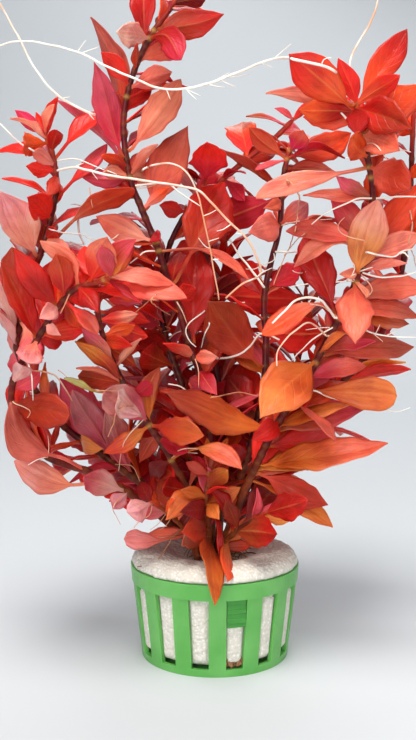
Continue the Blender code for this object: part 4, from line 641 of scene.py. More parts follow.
STRANDS = [
    strand("right", [(370, 199), (360, 198), (350, 202), (335, 208), (322, 216), (312, 224)], 0.15, 0.26),
    strand("right", [(372, 198), (384, 198), (396, 197), (418, 197)], 0.0, 0.28),
    strand("right", [(365, 241), (350, 237), (341, 233), (338, 228), (340, 222), (345, 217)], 0.6, 0.16),
    strand("right", [(384, 262), (392, 257), (401, 252), (412, 249)], 0.1, 0.28),
    strand("right", [(400, 253), (404, 252), (410, 259)], 0.0, 0.26),
    strand("far_right", [(418, 208), (412, 222), (411, 232), (409, 243), (413, 254), (417, 268)], 0.5, 0.24),
    strand("right", [(368, 279), (380, 277), (395, 276), (405, 275), (420, 271)], 0.0, 0.26),
    strand("right",
           [(357, 279), (350, 281), (341, 282), (323, 283), (308, 284), (291, 287)], 0.05, 0.26, 6.0),
    strand("right", [(357, 279), (352, 275), (355, 268), (352, 262)], 0.2, 0.16),
    strand("right", [(352, 282), (346, 281), (350, 277), (356, 274)], 0.2, 0.16),
    strand("right", [(366, 271), (369, 268), (373, 267)], 0.0, 0.22),
    strand("right", [(371, 280), (372, 289), (366, 298)], 0.6, 0.16),
    strand("right", [(338, 329), (318, 328), (306, 330)], 0.1, 0.16),
    strand("right", [(329, 327), (316, 337), (300, 352), (292, 361)], 0.2, 0.24),
    strand("right", [(340, 321), (330, 312), (322, 306), (310, 304)], 0.4, 0.18),
    strand("right", [(360, 325), (368, 331), (380, 335), (395, 337), (418, 337)], 0.05, 0.24, -22.0),
    strand("right", [(372, 332), (377, 337), (383, 342)], 0.3, 0.14, -22.0),
    strand("right", [(385, 336), (392, 333), (396, 332)], 0.3, 0.14, -22.0),
    strand("right", [(376, 334), (378, 330), (380, 325)], 0.3, 0.14, -22.0),
    strand("right",
           [(306, 388), (316, 391), (326, 396), (345, 402), (358, 405), (378, 409), (398, 412), (410, 408)],
           0.15, 0.24, -16.0),
    strand("right", [(364, 150), (371, 143), (377, 146), (382, 152), (387, 160)], 0.35, 0.22),
    strand("right", [(390, 154), (397, 151), (404, 150), (411, 152)], 0.2, 0.2),
    strand("right", [(359, 126), (351, 124), (345, 117), (337, 109)], 0.0, 0.36, -32.0),
    strand("right", [(366, 160), (356, 158), (346, 158)], 0.05, 0.26, 2.0),
    strand("back_right", [(284, 253), (295, 252), (309, 252)], 0.0, 0.32),
    strand("back_right",
           [(283, 178), (292, 184), (299, 196), (298, 208), (296, 224), (292, 240), (285, 256), (279, 270),
            (274, 284)],
           0.75, 0.24),
    strand("back_right", [(308, 231), (299, 238), (291, 247), (284, 256)], 0.7, 0.2),
    strand("back_right", [(284, 224), (300, 221), (320, 220), (332, 219)], 0.1, 0.12),
    strand("back_right", [(286, 256), (274, 260), (262, 265), (254, 269), (246, 269)], 0.3, 0.17),
    strand("back_right",
           [(266, 290), (262, 285), (256, 276), (249, 267), (240, 256), (233, 244), (229, 239)], 0.05, 0.36),
    strand("back_right", [(292, 271), (300, 273), (306, 272)], 0.2, 0.12),
    strand("back_right", [(266, 270), (260, 275), (264, 282)], 0.6, 0.14),
    strand("back_right", [(268, 266), (262, 272), (258, 280)], 0.6, 0.14),
    strand("back_middle", [(212, 306), (227, 304), (236, 303), (245, 302)], 0.1, 0.26, 4.0),
    strand("back_middle",
           [(208, 312), (195, 318), (188, 325), (186, 332), (190, 341), (196, 347)], 0.2, 0.27),
    strand("back_middle", [(213, 318), (209, 326), (205, 335), (201, 348)], 0.0, 0.27),
    strand("far_left", [(52, 234), (66, 233), (82, 234), (89, 238), (95, 240)], 0.05, 0.22),
    strand("tall_left", [(96, 196), (84, 204), (78, 214), (78, 226), (80, 236), (84, 245)], 0.0, 0.4, 4.0),
    strand("tall_left", [(84, 244), (77, 244), (70, 241)], 0.1, 0.18, 4.0),
    strand("tall_left", [(82, 206), (76, 204), (71, 204)], 0.8, 0.15, 4.0),
    strand("tall_left", [(78, 216), (74, 215)], 0.8, 0.2, 4.0),
    strand("tall_left", [(119, 234), (114, 238), (110, 240)], 0.3, 0.22),
    strand("tall_left", [(154, 250), (145, 252), (138, 257), (130, 263)], 0.05, 0.27),
    strand("tall_left", [(150, 178), (165, 183), (178, 191), (190, 199), (200, 206)], 0.0, 0.3),
    strand("far_left", [(61, 161), (72, 159), (83, 161), (95, 166), (106, 170), (117, 175)], 0.0, 0.2),
    strand("tall_left", [(132, 184), (140, 188), (148, 187), (156, 184)], 0.7, 0.16),
    strand("far_left", [(90, 188), (91, 198), (93, 208)], 0.8, 0.18),
    strand("tall_left", [(178, 302), (183, 314), (187, 323)], 0.55, 0.22),
    strand("middle", [(158, 295), (150, 300), (143, 306), (136, 312)], 0.85, 0.17),
    strand("middle", [(142, 298), (150, 300), (160, 309), (171, 315)], 0.85, 0.19),
    strand("middle", [(161, 298), (158, 308), (155, 321)], 0.85, 0.17),
    strand("middle", [(185, 330), (176, 333), (169, 339)], 0.4, 0.22),
    strand("middle", [(180, 326), (172, 329), (163, 332)], 0.8, 0.16),
    strand("tall_left", [(199, 358), (198, 370), (199, 388)], 0.7, 0.18),
    strand("tall_left", [(168, 384), (180, 386), (190, 393), (197, 396)], 0.3, 0.24, -4.0),
    strand("tall_left", [(211, 400), (225, 395), (240, 392), (258, 396)], 0.9, 0.22),
    strand("inner_left", [(118, 391), (108, 391), (96, 391)], 0.5, 0.2),
    strand("far_left", [(22, 372), (35, 371), (48, 373), (58, 378), (66, 390), (73, 401)], 0.55, 0.3),
    strand("far_left", [(58, 370), (66, 376), (73, 384)], 0.5, 0.16),
    strand("left_bow", [(30, 360), (32, 378), (33, 400)], 0.2, 0.25),
    strand("left_bow", [(33, 400), (30, 410), (27, 418)], 0.5, 0.16),
    strand("inner_left", [(133, 406), (119, 409), (114, 422), (108, 437)], 0.75, 0.26),
    strand("inner_left", [(138, 424), (132, 431), (127, 438), (123, 446), (119, 471)], 0.5, 0.17),
    strand("far_left", [(140, 481), (133, 467), (124, 465), (115, 464)], 0.9, 0.17),
    strand("inner_left", [(171, 457), (178, 451), (188, 448), (198, 449)], 0.6, 0.2),
    strand("inner_left", [(171, 457), (180, 453), (198, 453)], 0.5, 0.13),
    strand("left_bow", [(72, 290), (66, 302), (60, 314)], 0.5, 0.2),
    strand("left_bow", [(50, 459), (44, 458), (36, 460), (28, 465)], 0.3, 0.16),
    strand("left_bow", [(48, 457), (49, 447), (48, 436)], 0.5, 0.14),
    strand("low_left", [(188, 533), (178, 536), (168, 536), (158, 537)], 1.3, 0.2),
    strand("low_left",
           [(184, 531), (173, 537), (168, 545), (160, 557), (155, 564), (146, 566), (137, 567)], 1.3, 0.2),
    strand("low_left", [(166, 512), (158, 524), (150, 530)], 0.8, 0.12),
    strand("low_left", [(170, 516), (166, 526), (160, 530)], 0.8, 0.12),
    strand("low_left", [(152, 503), (150, 515), (139, 522), (134, 528)], 0.6, 0.16),
    strand("left_bow", [(130, 494), (114, 506), (117, 518), (120, 524)], 0.5, 0.14),
]

# Short side rootlets of the main roots, from the root's own pixel outward
ROOTLETS = {
    "root_long_top": [
        [(77, 52), (86, 40)], [(82, 54), (99, 47)], [(166, 92), (171, 99)], [(187, 92), (200, 96)],
        [(187, 92), (197, 100)], [(208, 82), (230, 73)], [(207, 87), (226, 88)], [(222, 82), (236, 87)],
        [(228, 79), (249, 74)], [(272, 58), (283, 51), (291, 44)], [(262, 62), (274, 68)],
        [(320, 65), (324, 59), (332, 57)], [(290, 60), (300, 52)]],
    "root_hanging": [
        [(203, 216), (211, 213), (218, 209)], [(209, 242), (213, 240), (219, 238)],
        [(210, 248), (205, 246), (199, 238)], [(213, 260), (219, 259)]],
    "root_across": [
        [(232, 225), (224, 229), (217, 231)], [(243, 235), (236, 233)], [(256, 279), (262, 272), (272, 268)],
        [(256, 276), (248, 282)], [(90, 171), (98, 180)], [(75, 167), (84, 163)]],
    "root_high_left": [[(62, 99), (70, 97)], [(88, 112), (94, 120)]],
}
ROOTLET_RADIUS, ROOTLET_TONE = 0.16, 0.12

# Base colours of leaves by name, and of the other pieces
COLOURS = {
    "red": (0.78, 0.018, 0.011),
    "deep_red": (0.36, 0.007, 0.005),
    "dark_red": (0.48, 0.010, 0.007),
    "orange_red": (0.82, 0.062, 0.015),
    "orange": (0.74, 0.16, 0.038),
    "salmon": (0.90, 0.205, 0.14),
    "coral": (0.83, 0.12, 0.075),
    "pale_pink": (0.92, 0.38, 0.34),
    "dull_pink": (0.62, 0.16, 0.15),
    "rose": (0.86, 0.23, 0.23),
    "crimson": (0.50, 0.012, 0.024),
    "crimson_pink": (0.66, 0.055, 0.08),
    "magenta": (0.68, 0.025, 0.07),
    "brown_red": (0.44, 0.030, 0.012),
    "brown_orange": (0.52, 0.085, 0.014),
    "clay": (0.50, 0.080, 0.048),
    "rust": (0.30, 0.028, 0.009),
    "straw": (0.62, 0.36, 0.13),
    "maroon": (0.17, 0.006, 0.006),
}
STEM_COLOUR = (0.16, 0.02, 0.012)
ROOT_COLOUR = (0.80, 0.74, 0.62)
POT_COLOUR = (0.14, 0.46, 0.11)
FOAM_COLOUR = (0.80, 0.77, 0.70)

# How a leaf gives way to what is already there: its tip moves in depth, its base slides, it shrinks
TIP_SHIFTS = (0, *(sign * step * 1.5 for step in range(1, 15) for sign in (1, -1)))
BASE_SLIDES = (0, 1.3, -1.3, 2.6, -2.6)
SHRINKS = (1, 0.85, 0.7)
ROUND_WAYS = ((1, 0.75, 0.55), (0, 4, -4), (0,))
CLEARANCE = 0.2

# The length in millimetres of a row of a leaf's mesh: fine where the view shows the leaf, coarser elsewhere
SEEN_GRAIN, PAIRED_GRAIN, ROUND_GRAIN = 0.75, 1.0, 1.4


def seen(u, v, depth):
    """The point that shows at pixel (u, v) of the view and lies at y = depth."""
    across = (u - VIEW_WIDTH / 2) / (VIEW_HEIGHT / 2) * HALF_FIELD
    up = (VIEW_HEIGHT / 2 - v) / (VIEW_HEIGHT / 2) * HALF_FIELD
    ray = FORWARD + Vector((across, 0, 0)) + UPWARD * up
    return EYE + ray * ((depth - EYE.y) / ray.y)


def pixel_of(point):
    """Where the point shows in the view."""
    away = point - EYE
    scale = VIEW_HEIGHT / 2 / HALF_FIELD / away.dot(FORWARD)
    return VIEW_WIDTH / 2 + away.x * scale, VIEW_HEIGHT / 2 - away.dot(UPWARD) * scale


def spread(values, share):
    """The value at this share of the way along a row of values."""
    return float(np.interp(share * (len(values) - 1), range(len(values)), values))


def clamp(value):
    """The value held between 0 and 1."""
    return min(max(value, 0), 1)


def smooth_route(points, count):
    """Points spaced evenly along a smooth curve through the given ones."""
    ends = [2 * points[0] - points[1], *points, 2 * points[-1] - points[-2]]
    steps = 12
    fine = []
    for before, start, end, after in zip(ends, ends[1:], ends[2:], ends[3:]):
        for step in range(steps):
            t = step / steps
            bend = 2 * before - 5 * start + 4 * end - after
            twist = 3 * start - before - 3 * end + after
            fine.append(start + ((end - before) * t + bend * t**2 + twist * t**3) / 2)
    fine.append(points[-1])
    fine = np.array(fine)
    reach = np.concatenate([[0], np.cumsum(np.linalg.norm(np.diff(fine, axis=0), axis=1))])
    places = np.linspace(0, reach[-1], count)
    return [Vector(np.interp(place, reach, fine[:, axis]) for axis in range(3)) for place in places]


def along(points, share):
    """The point at this share of an evenly spaced route, and the route's direction there."""
    place = clamp(share) * (len(points) - 1)
    before = min(int(place), len(points) - 2)
    step = points[before + 1] - points[before]
    return points[before] + step * (place - before), step.normalized()


def depth_route(route, depths):
    """A route's pixels as points, with the depths spread evenly along it."""
    last = len(route) - 1
    return [seen(u, v, spread(depths, index / last)) for index, (u, v) in enumerate(route)]


def grown_shoot(name):
    """The stem's centre line, from the pocket's floor to the crown, with its radius at any share of it."""
    given = SHOOTS[name]
    points = depth_route(given.route, given.depths)
    foot = Vector((points[0].x, points[0].y, POCKET_FLOOR + 1))
    line = smooth_route([foot, *points], 4 * len(points))
    return SimpleNamespace(name=name, line=line, thick=given.thick)


def stem_radius(stem, share):
    return stem.thick[0] + (stem.thick[1] - stem.thick[0]) * share


def share_nearest(stem, pixel):
    """The share of the stem's length that shows nearest to a pixel of the view."""
    spots = np.array([pixel_of(point) for point in stem.line])
    nearest = np.argmin(np.linalg.norm(spots - np.array(pixel), axis=1))
    return nearest / (len(stem.line) - 1)


def tube(points, radii, sides=6):
    """The corners and faces of a tube, for telling what meets it."""
    corners = []
    for index, (point, radius) in enumerate(zip(points, radii)):
        heading = (points[min(index + 1, len(points) - 1)] - points[max(index - 1, 0)]).normalized()
        across = heading.orthogonal().normalized()
        other = heading.cross(across)
        for side in range(sides):
            angle = 2 * math.pi * side / sides
            corners.append(point + (across * math.cos(angle) + other * math.sin(angle)) * radius)
    rows = range(len(points) - 1)
    faces = [
        (row * sides + side, row * sides + (side + 1) % sides,
         (row + 1) * sides + (side + 1) % sides, (row + 1) * sides + side)
        for row in rows for side in range(sides)
    ]
    return corners, faces


def blade_share(share):
    """The blade's width at this share of the leaf's length, as a share of its full width."""
    t = max(share - BLADE_START, 0) / (1 - BLADE_START)
    rise, fall = 0.85, 1.0
    widest = rise / (rise + fall)
    return (t / widest) ** rise * ((1 - t) / (1 - widest)) ** fall


def midrib(form, count=13):
    if form.via:
        return smooth_route([form.base, *form.via, form.tip], count)
    middle = (form.base + form.tip) / 2 + form.up * form.bend * (form.tip - form.base).length
    return smooth_route([form.base, middle, form.tip], count)


def leaf_frame(form, rib, share):
    """The midrib's point, and the leaf's side and upper directions there."""
    point, heading = along(rib, share)
    side = (form.across - heading * form.across.dot(heading)).normalized()
    up = side.cross(heading)
    return point, side, up if up.dot(form.up) > 0 else -up


def leaf_solid(form, cut, swell=0.0):
    """The corners and faces of a leaf: sections along the midrib, closed in a point at the tip."""
    rib = midrib(form)
    corners = []
    for share in cut.shares:
        point, side, up = leaf_frame(form, rib, share)
        half = max(form.width * blade_share(share), PETIOLE) / 2 + swell
        thick = BLADE_THICKNESS / 2 + swell
        lift = up * (BLADE_FOLD * (half - PETIOLE / 2 - swell))
        ridge = [point + up * thick] if cut.ridged else []
        corners += [point - side * half + lift, *ridge, point + side * half + lift, point - up * thick]
    tip = rib[-1] + (rib[-1] - rib[-2]).normalized() * swell
    corners.append(tip)
    sides = 4 if cut.ridged else 3
    faces = [tuple(reversed(range(sides)))]
    for row in range(len(cut.shares) - 1):
        for side in range(sides):
            near, far = row * sides + side, row * sides + (side + 1) % sides
            faces.append((near, far, far + sides, near + sides))
    last = sides * (len(cut.shares) - 1)
    faces += [(last + side, last + (side + 1) % sides, len(corners) - 1) for side in range(sides)]
    return corners, faces


def blade_only(form, swell=0.0):
    """The leaf without its stalk."""
    corners, faces = leaf_solid(form, BLADE, swell)
    return corners, [face for face in faces if min(face) > 2]


def obstacle(shoot_name, fused, corners, faces, blade=None):
    """Something already in place, with the box and the trees that tell what meets it."""
    spots = np.array(corners)
    tree = BVHTree.FromPolygons(corners, faces)
    blade_tree = BVHTree.FromPolygons(*blade) if blade else tree
    return SimpleNamespace(
        shoot=shoot_name, fused=fused, low=spots.min(axis=0), high=spots.max(axis=0), tree=tree,
        blade_tree=blade_tree)


class Placed:
    """All that is already in place, with the boxes that quickly tell what may meet a leaf."""

    def __init__(self, items=()):
        self.items = []
        self.boxes = np.empty((4096, 6))
        for item in items:
            self.append(item)

    def append(self, item):
        self.boxes[len(self.items)] = (*item.low, *item.high)
        self.items.append(item)

    def near(self, low, high):
        boxes = self.boxes[:len(self.items)]
        meets = (boxes[:, :3] <= high).all(axis=1) & (boxes[:, 3:] >= low).all(axis=1)
        return [self.items[index] for index in np.flatnonzero(meets)]

    def hides(self, point):
        """Whether something stands between the view's eye and the point."""
        away = point - EYE
        return any(item.tree.ray_cast(EYE, away.normalized(), away.length - 1)[0] for item in self.items)


def is_clear(form, cut, stem, fused, placed):
    """Whether the leaf, a little swollen, meets nothing that is already in place."""
    corners, faces = leaf_solid(form, cut, CLEARANCE)
    spots = np.array(corners)
    near = placed.near(spots.min(axis=0), spots.max(axis=0))
    whole = BVHTree.FromPolygons(corners, faces)
    blade = BVHTree.FromPolygons(*blade_only(form, CLEARANCE))
    for item in near:
        grown_together = fused and item.fused and item.shoot == stem.name
        mine = blade if grown_together else whole
        theirs = item.blade_tree if grown_together else item.tree
        if mine.overlap(theirs):
            return False
    return True


def leaf_base(stem, share, toward, fused):
    """Where a leaf toward a point starts: just past the stem's centre, or a gap off its surface."""
    centre, heading = along(stem.line, share)
    outward = toward - centre
    lean = abs(outward.normalized().dot(heading))
    outward -= heading * outward.dot(heading)
    reach = -0.3 if fused else stem_radius(stem, share) + GAP + 0.15 + 0.45 * lean
    return centre + outward.normalized() * reach


def seen_leaf(stem, given, fused, slide, shift, shrink, flip):
    """A leaf as it shows in the view, with its tip moved in depth."""
    lowest = 1.2 / stem_length(stem)
    share = min(max(share_nearest(stem, given.base) + slide / stem_length(stem), lowest), 0.995)
    centre, heading = along(stem.line, share)
    base_pixel = pixel_of(centre)
    show = math.dist(base_pixel, given.tip)
    full = max(given.width / SLENDERNESS, show * 1.04)
    reach = min(math.sqrt(full**2 - show**2) * MM_PER_PIXEL * 0.85, 20)
    tip_depth = centre.y - given.side * reach - shift - given.lean
    tip = seen(*given.tip, tip_depth)
    tip = centre + (tip - centre) * shrink
    base = leaf_base(stem, share, tip, fused)
    via = []
    for index, pixel in enumerate(given.via):
        part = (index + 1) / (len(given.via) + 1)
        via.append(base + (seen(*pixel, base.y + (tip_depth - base.y) * part) - base) * shrink)
    direction = (tip - base).normalized()
    to_eye = (EYE - base).normalized()
    facing = (to_eye - direction * to_eye.dot(direction)).normalized()
    flat = direction.cross(facing)
    shown = given.width * MM_PER_PIXEL * shrink
    length = (tip - base).length
    width = max(shown, min(0.32 * length, 2.6 * shown))
    turn = math.acos(min(shown / width, 1))
    stem_side = heading - direction * heading.dot(direction)
    turns = sorted((turn, -turn), key=lambda angle: -abs(turned(facing, flat, angle).dot(stem_side)))
    normal = turned(facing, flat, turns[flip])
    upper = 1 if normal.dot(stem_side) >= 0 else -1
    bend = 0.05 + 0.05 * math.sin(given.tip[0] * 1.7 + given.tip[1])
    return SimpleNamespace(
        base=base, tip=tip, via=via, width=width, up=normal * upper,
        across=normal.cross(direction).normalized(), bend=bend, colour=given.colour, end=given.end,
        grain=SEEN_GRAIN)


def stem_length(stem):
    return sum((after - before).length for before, after in zip(stem.line, stem.line[1:]))


def turned(facing, flat, angle):
    return facing * math.cos(angle) + flat * math.sin(angle)


def outward_leaf(stem, share, slid_share, angle, length, rise, colour, bend, grain):
    """A leaf that points out at this angle round its stem, with 0 toward the viewer."""
    centre, heading = along(stem.line, slid_share)
    front = (Vector((0, -1, 0)) - heading * -heading.y).normalized()
    beside = heading.cross(front)
    outward = front * math.cos(angle) + beside * math.sin(angle)
    direction = (outward + heading * rise).normalized()
    tip = centre + direction * length
    base = leaf_base(stem, share, tip, True)
    up = (heading - direction * heading.dot(direction)).normalized()
    return SimpleNamespace(
        base=base, tip=tip, via=[], width=length * SLENDERNESS, up=up,
        across=up.cross(direction).normalized(), bend=bend, colour=colour, end=colour, grain=grain)


def paired_leaf(stem, share, angle, colour, slide, shift, shrink, flip):
    """One leaf of a pair on a rear shoot."""
    slid_share = min(share + slide / stem_length(stem), 0.995)
    length = spread(PAIR_LENGTH, share) * shrink
    rise = spread(PAIR_RISE, share) + shift / 20
    return outward_leaf(
        stem, share, slid_share, angle + 0.25 * flip, length, rise, colour, 0.09, PAIRED_GRAIN)


def round_leaf(stem, share, angle, length, rise, colour, slide, shift, shrink, flip):
    """A young leaf of a crown, or one of the hidden sides."""
    slid_share = min(share + slide / stem_length(stem), 0.998)
    return outward_leaf(
        stem, share, slid_share, angle + 0.3 * flip, length * shrink, rise + shift / 20, colour, 0.08,
        ROUND_GRAIN)


def settled(make, cut, stem, fused, placed, ways=(SHRINKS, TIP_SHIFTS, BASE_SLIDES), fits=None):
    """The first way of making the leaf that meets nothing, kept among the obstacles, or None."""
    for shrink, shift, slide, flip in itertools.product(*ways, (0, 1)):
        form = make(slide, shift, shrink, flip)
        if fits and not fits(form):
            continue
        if is_clear(form, cut, stem, fused, placed):
            placed.append(obstacle(stem.name, fused, *leaf_solid(form, cut), blade_only(form)))
            return form
    return None


def shown_area(given):
    return math.dist(given.base, given.tip) * given.width


def grown_leaf(form, name, label, fused=True, cut=SMALL):
    return SimpleNamespace(form=form, shoot=name, fused=fused, cut=cut, label=f"{name}_{label}")


def grow_seen_leaves(
        table, stems, placed, least_area=0, most_area=math.inf, kind="leaf", separate=LARGEST_LEAVES):
    """The table's leaves that fill between these many pixels of the view, the largest first."""
    rows = [(name, index, given) for name in table for index, given in enumerate(table[name])]
    rows.sort(key=lambda row: -shown_area(row[2]))
    grown = []
    for rank, (name, index, given) in enumerate(rows):
        if not least_area <= shown_area(given) < most_area:
            continue
        fused = rank >= separate
        cut = LARGE if not fused else MEDIUM if shown_area(given) > MEDIUM_AREA else SMALL
        make = functools.partial(seen_leaf, stems[name], given, fused)
        form = settled(make, cut, stems[name], fused, placed)
        if form:
            grown.append(grown_leaf(form, name, f"{kind}_{index + 1:02d}", fused, cut))
    return grown


def grow_round_leaf(name, stem, placed, kind, number, share, angle, length, rise, colour, fits=None):
    """One settled leaf at this share and angle of a stem, in a list, or an empty list."""
    make = functools.partial(round_leaf, stem, share, angle, length, rise, colour)
    form = settled(make, SMALL, stem, True, placed, ROUND_WAYS, fits)
    return [grown_leaf(form, name, f"{kind}_{number:02d}")] if form else []


def stays_hidden(placed, low, high, form):
    """Whether a leaf lies in the object's box, above the pot and behind what the view shows already."""
    if not all(low[axis] < form.tip[axis] < high[axis] for axis in range(3)):
        return False
    middle = form.base.lerp(form.tip, 0.55)
    edge = form.across * form.width * 0.45
    return all(placed.hides(point) for point in (form.tip, middle + edge, middle - edge))


def grow_hidden_leaves(stems, placed, low, high):
    """Leaves on the far sides of the shoots, which the view doesn't show."""
    grown = []
    fits = functools.partial(stays_hidden, placed, low, high)
    for name, stem in stems.items():
        rng = random.Random(name)
        joints = int(stem_length(stem) / 8)
        for joint in range(joints):
            share = 0.1 + 0.88 * (joint + 0.5) / joints
            for angle in (95, 140, 180, 220, 265):
                turn = math.radians(angle + 22 * (joint % 2) + rng.uniform(-14, 14))
                length = spread((22, 25, 13), share) * rng.uniform(0.8, 1.1)
                colour = rng.choice(HIDDEN_COLOURS)
                rise = rng.uniform(0.25, 0.9)
                grown += grow_round_leaf(
                    name, stem, placed, "far", len(grown), share, turn, length, rise, colour, fits)
    return grown


def grow_crown_leaves(stems, placed):
    """Small young leaves that close in on the tips of the shoots that show none."""
    grown = []
    for name in YOUNG_TIPS:
        stem = stems[name]
        rng = random.Random(name + " crown")
        length = stem_length(stem)
        for pair in range(4):
            share = 1 - (0.3 + 2.0 * (3 - pair)) / length
            for half in (0, 1):
                angle = math.radians(40 + 90 * pair + 180 * half + rng.uniform(-12, 12))
                size = (10, 8, 6, 4)[pair] * rng.uniform(0.85, 1.15)
                rise = (0.8, 1.2, 1.8, 2.6)[pair]
                grown += grow_round_leaf(
                    name, stem, placed, "crown", len(grown), share, angle, size, rise,
                    rng.choice(("red", "orange_red", "crimson_pink")))
    return grown


def grow_paired_leaves(stems, placed):
    """The leaves of the shoots at the back, in opposite pairs."""
    grown = []
    for name, (shares, first_angle, colour) in PAIRED.items():
        for pair, half in itertools.product(range(len(shares)), (0, 1)):
            angle = math.radians(first_angle + 90 * pair + 186 * half)
            share = shares[pair] + 0.4 * half / stem_length(stems[name])
            make = functools.partial(paired_leaf, stems[name], share, angle, colour)
            form = settled(make, SMALL, stems[name], True, placed)
            if form:
                grown.append(grown_leaf(form, name, f"leaf_{2 * pair + half + 1:02d}"))
    return grown


def root_line(given, stems, count):
    """The root's route, from the surface of its stem."""
    points = depth_route(given.route, given.depths)
    stem = stems[given.shoot]
    share = share_nearest(stem, given.route[0])
    centre, heading = along(stem.line, share)
    away = points[1] - centre
    away -= heading * away.dot(heading)
    points[0] = centre + away.normalized() * (stem_radius(stem, share) + GAP + ROOT_RADIUS)
    return smooth_route(points, count)


def root_points(given):
    return max(7, round(1.15 * len(given.route)))


def pot_radius(height):
    """The pot's outer radius at a height below the rim band."""
    foot, top = FOOT_DIAMETER / 2, RIM_DIAMETER / 2 - RIM_PROUD
    return foot + (top - foot) * height / (POT_HEIGHT - RIM_BAND)


def pot_and_foam_obstacles():
    """Plain shapes of the pot and the foam, for leaves and stems to stay clear of."""
    rim = RIM_DIAMETER / 2 + 0.4
    top = POT_HEIGHT + FOAM_DOME + 0.3
    wall = [Vector((0, 0, 0)), Vector((0, 0, POT_HEIGHT))]
    dome = [Vector((0, 0, height)) for height in (POT_HEIGHT, top - 2.2, top - 0.5, top)]
    pocket = [Vector((0, 0, POCKET_FLOOR)), Vector((0, 0, top))]
    shapes = [
        (wall, (FOOT_DIAMETER / 2, rim)),
        (dome, (rim, rim - 0.8, rim - 4.3, POCKET_RADIUS + 2.2)),
        (pocket, (POCKET_RADIUS - 0.4, POCKET_RADIUS + 2.2)),
        ([Vector((0, 0, POCKET_FLOOR - 0.2)), Vector((0, 0, POCKET_FLOOR + 0.3))], (POCKET_RADIUS, 0.01)),
    ]
    return [obstacle("", False, *tube(points, radii, 24)) for points, radii in shapes]


# Fine dimensions, in millimetres
LEAF_EDGE, LEAF_MIDDLE = 0.22, 0.5
ROOT_RISE = 1.3
TUFT_CENTRE = (1.5, -2.5)
DEBRIS_ANGLE, DEBRIS_RADIUS, DEBRIS_HEIGHTS = math.radians(17), 21.2, (2.4, 6.2)
TOP_POINTS = 7
FOAM_SAG = 2.3
FOAM_BULGE = 1.25
STALK_WIDTH = 0.95
STEM_SIDES = 14
YOUNG_FROM = {"back_middle": 0.68}
TUFT_FIBRES, DEBRIS_BITS = 90, 16
VEINS, VEIN_SLANT = 7, 2.1
POT_CELLS = (5, 6)
POT_ROUNDING = 0.22


def fine_midrib(form, stem, count=57):
    """The leaf's midrib, led back into its stem."""
    rib = midrib(form, count)
    nearest = min(stem.line, key=lambda point: (point - form.base).length)
    inside = nearest + (form.base - nearest) * 0.2
    if (inside - form.base).length < 0.4:
        return rib
    return smooth_route([inside, *rib[::4]], count + 4)


def leaf_rows(form, label, stem):
    """The midrib's points with the blade's half width, side and upper directions at each row."""
    rng = random.Random(label)
    length = (form.tip - form.base).length
    rows = int(min(max(round(length / form.grain), 12), 42))
    rib = fine_midrib(form, stem)
    twist = rng.uniform(-0.55, 0.55)
    sickle = BOWS.get(label, rng.uniform(-0.045, 0.045)) * length
    wriggle = rng.uniform(-0.015, 0.015) * length
    curl = rng.uniform(-0.05, 0.09) * length
    rise, fall = BLADE_FORMS.get(label) or (rng.uniform(0.8, 1.15), rng.uniform(0.85, 1.25))
    found = []
    for row in range(rows + 1):
        share = (row / rows) ** 0.93
        point, side, up = leaf_frame(form, rib, share)
        angle = twist * (share - 0.4)
        turned_side = side * math.cos(angle) + up * math.sin(angle)
        turned_up = up * math.cos(angle) - side * math.sin(angle)
        bow = math.sin(math.pi * share)
        point = point + side * (sickle * bow + wriggle * math.sin(2 * math.pi * share))
        point = point + up * (curl * bow * (share - 0.25))
        blade = form.width / 2 * NARROWER.get(label, 1) * fine_share(share, stalk_share(label), rise, fall)
        stalk = STALK_WIDTH / 2 * (1 - share) ** 0.5 + 0.05
        half = math.hypot(blade, stalk) if share < 0.999 else 0.06
        found.append((share, point, turned_side, turned_up, half))
    return found


def stalk_share(label):
    """The share of the leaf's length that its stalk takes."""
    return LONG_STALKS.get(label) or random.Random(label + " stalk").uniform(0.09, 0.19)


def fine_share(share, start, rise, fall):
    """The fine blade's width at this share of its leaf, with its belly nearer the stalk or the tip."""
    t = max(share - start, 0) / (1 - start)
    widest = rise / (rise + fall)
    return (t / widest) ** rise * ((1 - t) / (1 - widest)) ** fall


